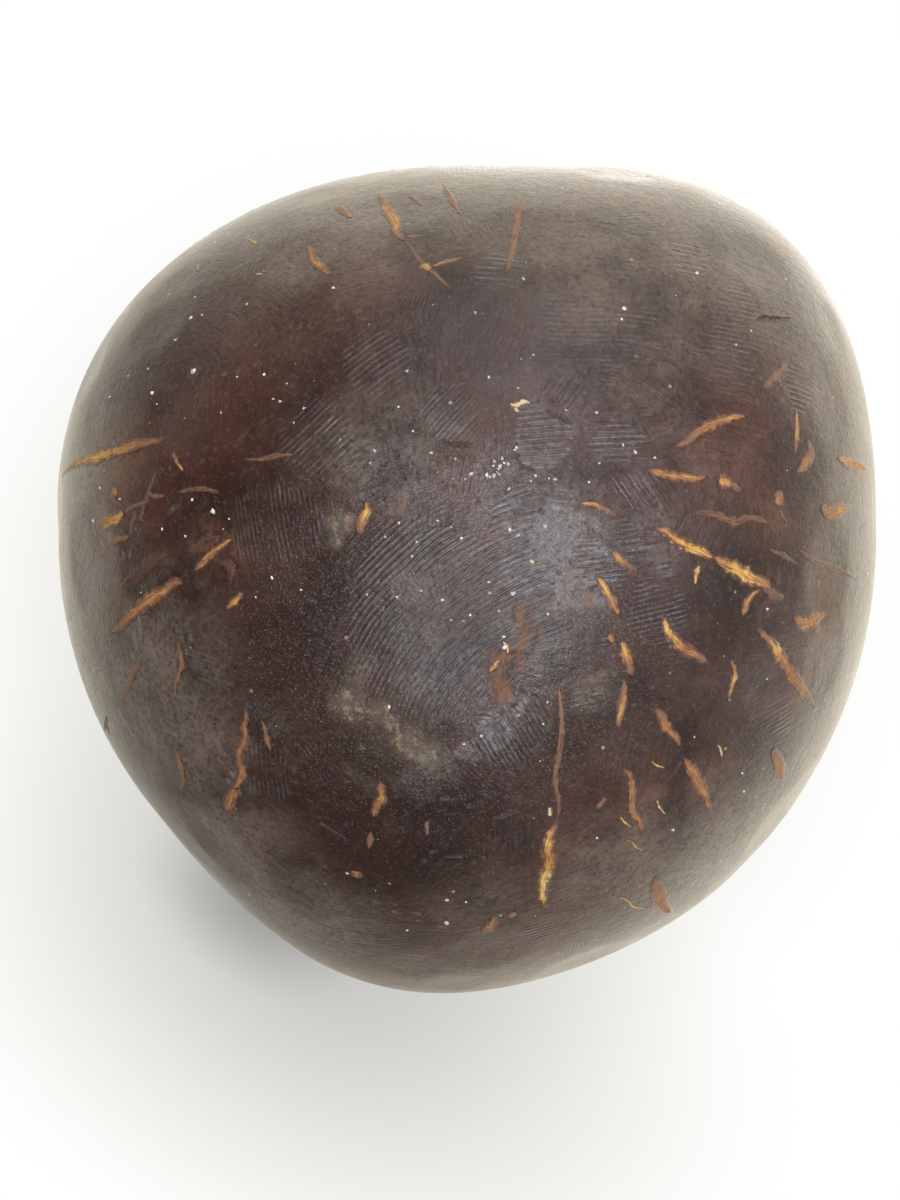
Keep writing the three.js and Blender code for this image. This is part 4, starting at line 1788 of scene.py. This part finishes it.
@dataclass(frozen=True)
class ShellFinish:
    """Scraped and waxed coconut shell, with the stains, the residue and the chatter lines of the photo.

    Its colour also holds painted highlights, painted shade and a painted reflection round the rim.
    """

    dark: tuple = (0.026, 0.0115, 0.0085, 1)
    brown: tuple = (0.083, 0.0375, 0.0270, 1)
    red: tuple = (0.135, 0.040, 0.022, 1)
    # Grey film colour, also laid as painted highlights and glints.
    film_and_highlight: tuple = (0.20, 0.185, 0.19, 1)
    # Dust colour, also laid as a painted reflection round the rim.
    dust: tuple = (0.275, 0.220, 0.172, 1)
    speck: tuple = (0.50, 0.46, 0.41, 1)
    fleck: tuple = (0.26, 0.115, 0.04, 1)
    olive: tuple = (0.29, 0.230, 0.148, 1)
    rust: tuple = (0.25, 0.115, 0.055, 1)
    sheen: tuple = (1.0, 0.94, 0.82, 1)
    relief: float = 0.15 * MM

    def stains(self, paint: Paint, ragged: object, sight: Sight) -> dict:
        """Lays the stains and patches, with their painted highlight and shade, by picture points.

        Args:
            paint: The material being built.
            ragged: Noise that makes their edges uneven.
            sight: Finds the picture points on the bowl.

        Returns:
            One mask for each kind of stain.
        """
        masks = {}
        for stain in STAINS:
            mask = paint.placed(
                stain_group(), Position=paint.spot, Centre=sight.spot(stain.middle) / MM, Reach=stain.reach,
                Strength=stain.strength, Ragged=ragged,
            )["Mask"]
            masks[stain.kind] = paint.most(masks[stain.kind], mask) if stain.kind in masks else mask
        for patch in PATCHES:
            corners = [sight.spot(corner) / MM for corner in patch.corners]
            middle = sum(corners, Vector()) / len(corners)
            mask = patch.strength
            for start, end in zip(corners, corners[1:] + corners[:1]):
                way = (end - start).normalized()
                inward = middle - start
                inward = (inward - way * inward.dot(way)).normalized()
                mask = paint.placed(edge_group(), Position=paint.spot, Point=start, Inward=inward,
                                    Soft=patch.soft, Ragged=ragged, Mask=mask)["Mask"]
            masks[patch.kind] = paint.most(masks[patch.kind], mask)
        return masks

    def build(self, sight: Sight) -> Material:
        """Builds the shell's material.

        Args:
            sight: Places the stains by picture points.

        Returns:
            The material.
        """
        paint = Paint("scraped_shell")
        where, times, line, band = paint.where, paint.times, paint.line, paint.band
        mottle = paint.placed(mottle_group(), Position=where)
        large, mid, fine, dust, grain = (mottle[name] for name in ("Large", "Mid", "Fine", "Dust", "Grain"))
        marks = self.stains(paint, line(paint.noise(where, 240, 5, 0.65), 2.2, -1.1), sight)
        olive = marks[StainKind.OLIVE]
        scraped = paint.placed(
            scraper_group(), Position=paint.spot, Hub=paint.written("hub")["Vector"],
            Comb=paint.written("comb")["Vector"], Warp=paint.noise(where, 60, 2, 0.5),
            Breaks=paint.noise(where, 330, 1, 0.5),
        )
        lines, streaks = scraped["Height"], scraped["Streaks"]
        scuff = paint.noise(where, 1500, 4, 0.75)
        flecks = times(band(grain, 0.66, 0.74), band(mid, 0.52, 0.62))

        # Grey film and painted highlight lie on the crests of the chatter lines and streaks.
        # Soot and painted shade keep the film's thin smear off.
        off_soot_and_shade = paint.less(1.0, marks[StainKind.SOOT_AND_SHADE])
        smear = times(band(paint.noise(where, 48, 6, 0.7), 0.45, 0.8), 0.25)
        torn = band(paint.noise(where, 210, 7, 0.75), 0.36, 0.56, 0.3, 1.2)
        film_and_highlight_share = line(marks[StainKind.FILM_AND_HIGHLIGHT], torn, times(smear, off_soot_and_shade))
        highlit_crests = paint.most(lines, band(streaks, 0.40, 0.58))
        highlit_crests = times(highlit_crests, band(scuff, 0.36, 0.60, 0.15, 1.1))
        film_and_highlight_share = times(film_and_highlight_share, line(highlit_crests, 0.95, 0.05), clamp=True)

        # Dust and a painted reflection round the rim lie on the nut's side, most of it 30 mm up, and in their
        # own places. There is less on soot and painted shade.
        height = paint.parts(paint.spot)[2]
        dust_and_painted_sheen = times(band(height, 8, 30, 0.0, 0.36), band(height, 31, 46, 1.0, 0.12))
        dust_and_painted_sheen = times(paint.plus(dust_and_painted_sheen, marks[StainKind.DUST_AND_RIM_SHEEN]), line(off_soot_and_shade, 0.8, 0.2))
        dust_and_painted_sheen = times(dust_and_painted_sheen, band(scuff, 0.3, 0.62, 0.3))

        # The ground end is worn to grit.
        grit = paint.noise(where, 4600, 3, 0.7)
        worn = band(height, 7.0, 1.5)

        # The olive crust is a thin veil with flakes on it.
        crust = paint.noise(where, 900, 7, 0.78)
        flaky = band(line(olive, 1.6, line(crust, 5.0, -3.2)), 0.0, 0.6)
        flaky = times(times(band(olive, 0.03, 0.2), flaky), line(band(crust, 0.46, 0.60), 0.55, 0.2))
        flaky = paint.most(flaky, times(olive, 0.3))

        runs = paint.noise(paint.vector("MULTIPLY", where, (1.0, 0.4, 0.7)), 1100, 7, 0.8)
        cells = paint.node("ShaderNodeTexVoronoi", {"Vector": where, "Scale": 520.0}).outputs
        dots = times(band(cells["Distance"], 0.15, 0.07), band(paint.parts(cells["Color"])[0], 0.90, 0.96))
        colour = paint.coats(
            paint.mix(band(mid, 0.3, 0.72), self.dark, self.brown),
            (times(band(large, 0.55, 0.75), 0.3), self.red),
            (times(band(fine, 0.5, 0.7), 0.45), self.brown),
            (times(band(grain, 0.52, 0.72), 0.4), self.dark),
            (times(flecks, 0.4), self.fleck),
            (marks[StainKind.RED], self.red),
            # Soot and painted shade.
            (marks[StainKind.SOOT_AND_SHADE], self.dark),
            # Grey film and painted highlight.
            (film_and_highlight_share, self.film_and_highlight),
            # Dust, and a painted reflection round the rim.
            (times(dust_and_painted_sheen, band(mid, 0.25, 0.6, 0.35)), self.dust),
            (band(dust, 0.55, 0.72, 0.0, 0.2), self.film_and_highlight),
            (band(scuff, 0.47, 0.30, 0.0, 0.55), self.dark),
            # Painted shade in the streaks' grooves, painted highlight on their crests, and painted glints on
            # the chatter lines' crests.
            (band(streaks, 0.45, 0.28, 0.0, 0.5), self.dark),
            (band(streaks, 0.56, 0.74, 0.0, 0.15), self.film_and_highlight),
            (times(lines, band(scuff, 0.42, 0.62, 0.3, 1.0)), self.film_and_highlight),
            (times(worn, band(grit, 0.57, 0.70, 0.0, 0.4)), self.speck),
            (times(worn, band(grit, 0.44, 0.32, 0.0, 0.8)), self.dark),
            (flaky, self.olive),
            (times(marks[StainKind.RUST], band(runs, 0.42, 0.58)), self.rust),
            (times(dots, 0.6), self.speck),
        )
        relief = paint.total(
            (lines, 0.8), (dust, 0.3), (streaks, 0.55), (grain, 0.6), (mid, 1.2), (fine, 0.65)
        )
        crusted = paint.most(olive, marks[StainKind.RUST])
        rough = line(crusted, 0.35, line(dust, 0.12, line(mid, 0.2, 0.22)), clamp=True)
        return paint.finish(colour, rough, relief, self.relief, IOR=1.5, Sheen_Weight=0.24,
                            Sheen_Roughness=0.3, Sheen_Tint=self.sheen)


@dataclass(frozen=True)
class InsideFinish:
    """The bowl's inside: smooth brown shell with faint darker veins."""

    brown: tuple = (0.150, 0.078, 0.046, 1)
    pale: tuple = (0.215, 0.125, 0.078, 1)
    vein: tuple = (0.052, 0.026, 0.018, 1)
    relief: float = 0.08 * MM

    def build(self) -> Material:
        """Builds the inside's material.

        Returns:
            The material.
        """
        paint = Paint("smooth_inside")
        mottle = paint.placed(mottle_group(), Position=paint.where)
        mid = mottle["Mid"]
        x, y, z = paint.parts(paint.where)
        bend = paint.scaled(paint.xyz(mid, mottle["Fine"]), 0.012)
        bent = paint.vector("ADD", paint.xyz(x, y, paint.times(z, 0.3)), bend)
        cells = {"Vector": bent, "Scale": 130.0}
        veins = paint.node("ShaderNodeTexVoronoi", cells, feature="DISTANCE_TO_EDGE").outputs["Distance"]
        colour = paint.coats(
            paint.mix(paint.band(mid, 0.35, 0.68), self.brown, self.pale),
            (paint.band(veins, 0.08, 0.0, 0.0, 0.3), self.vein),
            (paint.band(mottle["Grain"], 0.5, 0.75, 0.0, 0.5), self.vein),
            (paint.band(mottle["Dust"], 0.42, 0.28, 0.0, 0.4), self.vein),
        )
        height = paint.line(mottle["Fine"], 0.4, mid)
        return paint.finish(colour, paint.line(mid, 0.25, 0.28), height, self.relief)


@dataclass(frozen=True)
class HandleFinish:
    """Polished shell strip with its grain along the bow."""

    dark: tuple = (0.028, 0.014, 0.011, 1)
    brown: tuple = (0.085, 0.040, 0.026, 1)
    fleck: tuple = (0.34, 0.16, 0.05, 1)
    relief: float = 0.06 * MM

    def build(self) -> Material:
        """Builds the handle's material.

        Returns:
            The material.
        """
        paint = Paint("polished_strip")
        grain = paint.noise(paint.vector("MULTIPLY", paint.where, (60.0, 700.0, 60.0)), 1.0, 5, 0.6)
        mid = paint.noise(paint.where, 110, 4, 0.55)
        flecks = paint.times(paint.band(grain, 0.62, 0.70), paint.band(mid, 0.5, 0.6))
        colour = paint.mix(paint.band(grain, 0.35, 0.65), self.dark, self.brown)
        colour = paint.mix(paint.times(flecks, 0.8), colour, self.fleck)
        return paint.finish(colour, paint.line(mid, 0.25, 0.22), paint.plus(grain, mid), self.relief)


@dataclass(frozen=True)
class BrassFinish:
    """Old brass, darkened in its hollows."""

    bright: tuple = (0.72, 0.50, 0.20, 1)
    dull: tuple = (0.26, 0.15, 0.06, 1)
    relief: float = 0.07 * MM

    def build(self) -> Material:
        """Builds the brass material.

        Returns:
            The material.
        """
        paint = Paint("old_brass")
        mid = paint.noise(paint.where, 420, 5, 0.6)
        colour = paint.mix(paint.band(mid, 0.35, 0.62), self.dull, self.bright)
        return paint.finish(colour, paint.line(mid, 0.3, 0.2), mid, self.relief, Metallic=1.0)


@dataclass(frozen=True)
class FibreFinish:
    """Dry coir fibre: its tone runs from a black crack through rust, tan, orange and straw to cream."""

    tones: tuple = (
        (0.0, (0.014, 0.008, 0.007, 1)),
        (0.2, (0.115, 0.040, 0.022, 1)),
        (0.32, (0.18, 0.090, 0.062, 1)),
        (0.42, (0.24, 0.145, 0.098, 1)),
        (0.56, (0.32, 0.130, 0.052, 1)),
        (0.64, (0.42, 0.190, 0.066, 1)),
        (0.76, (0.56, 0.300, 0.090, 1)),
        (0.9, (0.74, 0.40, 0.060, 1)),
        (1.0, (0.66, 0.59, 0.42, 1)),
    )
    border: tuple = (0.185, 0.078, 0.042, 1)
    dark: tuple = (0.040, 0.0200, 0.0160, 1)
    brown: tuple = (0.095, 0.0500, 0.0400, 1)
    relief: float = 0.12 * MM

    def build(self) -> Material:
        """Builds the fibre material: streaks along each fibre, a ragged brown border and shell beyond it.

        Returns:
            The material.
        """
        paint = Paint("coir_fibre")
        tone, heart, cover = (paint.written(name)["Fac"] for name in ("tone", "heart", "cover"))
        along, across, own = paint.parts(paint.written("run")["Vector"])
        lane = paint.xyz(paint.times(along, 500.0), paint.times(across, 5600.0), paint.times(own, 50.0))
        streak = paint.less(paint.noise(lane, 1.0, 4, 0.65), 0.5)
        ramp = paint.node("ShaderNodeValToRGB", (paint.plus(streak, tone),))
        stops = ramp.color_ramp.elements
        for stop, (place, colour) in enumerate(self.tones):
            element = stops[stop] if stop < 2 else stops.new(place)
            element.position = place
            element.color = colour
        fray = paint.noise(paint.where, 1500, 4, 0.65)
        heart = paint.plus(paint.line(streak, 0.9, heart), paint.line(fray, 1.3, -0.65))
        core = paint.band(heart, 0.50, 0.86)
        fibre = paint.mix(core, self.border, ramp.outputs["Color"])
        mid = paint.placed(mottle_group(), Position=paint.where)["Mid"]
        shell = paint.mix(paint.band(mid, 0.3, 0.72), self.dark, self.brown)
        colour = paint.mix(paint.times(paint.band(heart, 0.20, 0.54), cover), shell, fibre)
        return paint.finish(colour, paint.line(core, 0.35, 0.35), paint.plus(streak, fray), self.relief)


@dataclass(frozen=True)
class LimeFinish:
    """Dry white lime."""

    pale: tuple = (0.84, 0.82, 0.78, 1)
    grey: tuple = (0.50, 0.47, 0.44, 1)

    def build(self) -> Material:
        """Builds the grains' material.

        Returns:
            The material.
        """
        paint = Paint("dry_lime")
        mid = paint.noise(paint.where, 900, 2, 0.5)
        colour = paint.mix(paint.band(mid, 0.35, 0.6), self.grey, self.pale)
        return paint.finish(colour, paint.line(mid, 0.2, 0.55))


@dataclass(frozen=True)
class Shade:
    """One soft oval of shade behind the basket, in picture points, with its turn in degrees and depth."""

    middle: tuple
    half_width: float
    half_height: float
    turn: float
    depth: float


SHADES = (
    Shade((330, 985), 520, 330, -25, 0.33),
    Shade((405, 635), 520, 520, 0, 0.47),
    Shade((258, 903), 150, 95, -33, 0.42),
)


@dataclass(frozen=True)
class Lamp:
    """One soft square lamp that faces the nut's middle: place and size in metres, power in watts, colour."""

    name: str
    place: tuple
    size: float
    power: float
    colour: tuple = (1, 1, 1)


LAMPS = (
    Lamp("ceiling", (0.13, 0.0, -0.85), 0.34, 6.5, (0.94, 0.97, 1.0)),
    Lamp("window", (0.12, -0.80, -0.42), 0.5, 2.4, (0.98, 0.98, 1.0)),
    Lamp("overhead", (0.25, -0.35, 1.2), 0.8, 5.0),
)


@dataclass
class Studio:
    """Floor, lamps, surround and camera, fitted to the nut and the view."""

    form: ShellForm
    view: View
    floor_half: float = 3.0
    floor_near: float = 0.14
    floor_far: float = 0.42
    sensor_mm: float = 36.0

    def camera(self) -> Object:
        """Places the camera below the basket, looking up at its ground end.

        Returns:
            The camera.
        """
        data = bpy.data.cameras.new("view")
        data.sensor_fit = "VERTICAL"
        data.sensor_height = self.sensor_mm
        data.lens = self.sensor_mm * LENS_PX / PHOTO_HEIGHT
        data.clip_start = 0.005
        obj = linked("view", data)
        obj.matrix_world = self.view.placing(self.form)
        bpy.context.scene.camera = obj
        bpy.context.view_layer.update()
        return obj

    def floor(self) -> None:
        """Lays a pale floor with an upper side only. It keeps the shadow and goes over to white far off."""
        half = self.floor_half
        corners = np.array([[-half, -half, 0], [half, -half, 0], [half, half, 0], [-half, half, 0]])
        obj = mesh_from("floor", corners, [(0, 1, 2, 3)], smooth=False)
        paint = Paint("pale_floor")
        paint.finish((0.81, 0.84, 0.93, 1), 0.9)
        far = paint.band(paint.vector("LENGTH", paint.where), self.floor_near, self.floor_far)
        seen = paint.node("ShaderNodeLightPath").outputs["Is Camera Ray"]
        under = paint.node("ShaderNodeNewGeometry").outputs["Backfacing"]
        glow = paint.node("ShaderNodeEmission", {"Strength": 1.0}).outputs[0]
        clear = paint.node("ShaderNodeBsdfTransparent").outputs[0]
        above = paint.node("ShaderNodeMixShader", (paint.times(far, seen), paint.shader.outputs[0], glow))
        sided = paint.node("ShaderNodeMixShader", (under, above.outputs[0], clear))
        paint.link(sided.outputs[0], paint.tree.nodes["Material Output"].inputs["Surface"])
        obj.data.materials.append(paint.material)
        obj.visible_shadow = False
        obj.visible_glossy = False
        obj.visible_diffuse = False

    def lamps(self) -> None:
        """Hangs the lamps: a ceiling light and a window under the basket, and one soft lamp over it."""
        for lamp in LAMPS:
            data = bpy.data.lights.new(lamp.name, "AREA")
            data.size = lamp.size
            data.energy = lamp.power
            data.color = lamp.colour
            obj = linked(lamp.name, data)
            way = Vector((0, 0, self.form.equator)) - Vector(lamp.place)
            obj.rotation_euler = way.to_track_quat("-Z", "Y").to_euler()
            obj.location = lamp.place

    def world(self, camera: Object) -> None:
        """Sets the surround.

        What the camera sees is white, with the soft ovals of SHADES. What lights the basket depends on the
        direction: a warm white table above, brighter on one side and with a gap on another, and a dim room
        below.

        Args:
            camera: The placed camera. The surround's directions are taken from its first place.
        """
        world = bpy.data.worlds.new("surround")
        bpy.context.scene.world = world
        world.use_nodes = True
        work = Nodes(world.node_tree)
        times, band = work.times, work.band
        path = work.node("ShaderNodeLightPath").outputs
        way = work.node("ShaderNodeTexCoord").outputs["Generated"]
        place = camera.matrix_world.to_3x3()
        rise = work.parts(way)[2]

        flat = work.vector("NORMALIZE", work.vector("MULTIPLY", way, (1, 1, 0)))
        turns = [math.radians(degrees) for degrees in (20, 236, 146)]
        sides = [place @ Vector((math.cos(turn), math.sin(turn), 0)) for turn in turns]
        lit, dim, low = (work.vector("DOT_PRODUCT", flat, side) for side in sides)
        room = band(lit, -0.8, 0.9, 0.04, 0.42)
        table = work.plus(band(lit, -0.3, 0.6, 0.58, 1.12), band(dim, 1.0, 0.6, 0.0, 0.92))
        table = times(table, band(rise, 0.1, 0.7, 0.5, 1.25))
        gap = times(band(low, 0.78, 0.98), band(rise, 0.88, 0.6, 0.0, 0.45))
        table = times(table, work.less(1.0, gap))
        level = work.blend(band(rise, -0.02, 0.36), room, table)
        tint = work.mix(band(rise, -0.1, 0.3), (0.96, 0.98, 1.0, 1), (1.0, 0.945, 0.78, 1))

        axes = [place @ Vector(axis) for axis in ((1, 0, 0), (0, 1, 0), (0, 0, -1))]
        right, up, ahead = (work.vector("DOT_PRODUCT", way, axis) for axis in axes)
        right, up = work.over(right, ahead), work.over(up, ahead)
        bright = 1.0
        for shade in SHADES:
            middle = self.view.ray(shade.middle)
            across, above = work.less(right, middle[0]), work.less(up, middle[1])
            c, s = math.cos(math.radians(shade.turn)), math.sin(math.radians(shade.turn))
            oval = [times(work.plus(times(across, a), times(above, b)), LENS_PX / half)
                    for a, b, half in ((c, s, shade.half_width), (-s, c, shade.half_height))]
            dark = band(work.vector("LENGTH", work.xyz(*oval)), 1.0, 0.0, 0.0, shade.depth)
            dark = times(dark, work.math("GREATER_THAN", ahead, 0.1))
            bright = times(bright, work.less(1.0, dark))
        shown = work.mix(band(bright, 0.9, 1.0), (1.0, 0.992, 0.952, 1), (1, 1, 1, 1))
        seen = work.most(path["Is Camera Ray"], path["Is Transmission Ray"])
        back = work.tree.nodes["Background"].inputs
        work.link(work.mix(seen, tint, shown), back["Color"])
        work.link(work.blend(seen, level, bright), back["Strength"])


def ride(piece: Object, body: Body, slot: Slot, finishes: tuple, node: str = "") -> None:
    """Gives a piece its body and finishes, and hides the CAD node that it stands for.

    Args:
        piece: The piece.
        body: The body that it moves with.
        slot: The record's material slot. Not used.
        finishes: Its materials, in the order of its faces' numbers, which emptying the list would reset.
        node: The node that it replaces, if any.
    """
    numbers = np.empty(len(piece.data.polygons), dtype=np.int32)
    piece.data.polygons.foreach_get("material_index", numbers)
    piece.data.materials.clear()
    for finish in finishes:
        piece.data.materials.append(finish)
    piece.data.polygons.foreach_set("material_index", numbers)
    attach(piece, body.value)
    if node:
        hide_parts(node)


def dress() -> None:
    """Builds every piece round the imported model."""
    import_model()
    form, pivot, view = ShellForm(), PivotForm(), View()
    studio = Studio(form, view)
    camera = studio.camera()
    bowl = Bowl(form, pivot).build()
    sight = Sight(camera, view, bowl)
    chatter = Chatter(bowl)
    chatter.picture_passes(sight)
    chatter.wild_passes(form)
    chatter.write()
    ride(bowl, Body.BOWL, Slot.SHELL, (ShellFinish().build(sight), InsideFinish().build()), "shell_bowl")

    handle = Bail(pivot).build()
    ride(handle, Body.HANDLE, Slot.HANDLE, (HandleFinish().build(),), "handle")

    brass = BrassFinish().build()
    for side in (1, -1):
        for node, piece in PivotSet(pivot, side).build().items():
            ride(piece, Body.BOWL, Slot.BRASS, (brass,), node)

    coir = FibreFinish().build()
    ride(FibreInlay(sight, form, "fibre_slivers", FIBRES, 34).build(), Body.BOWL, Slot.SHELL, (coir,))
    ride(FibreInlay(sight, form, "loose_hairs", HAIRS).build(), Body.BOWL, Slot.SHELL, (coir,))
    ride(GrainScatter(sight, form).build(), Body.BOWL, Slot.SHELL, (LimeFinish().build(),))

    studio.floor()
    studio.lamps()
    studio.world(camera)
    bpy.context.scene.view_settings.view_transform = "Standard"


if __name__ == "__main__":
    dress()
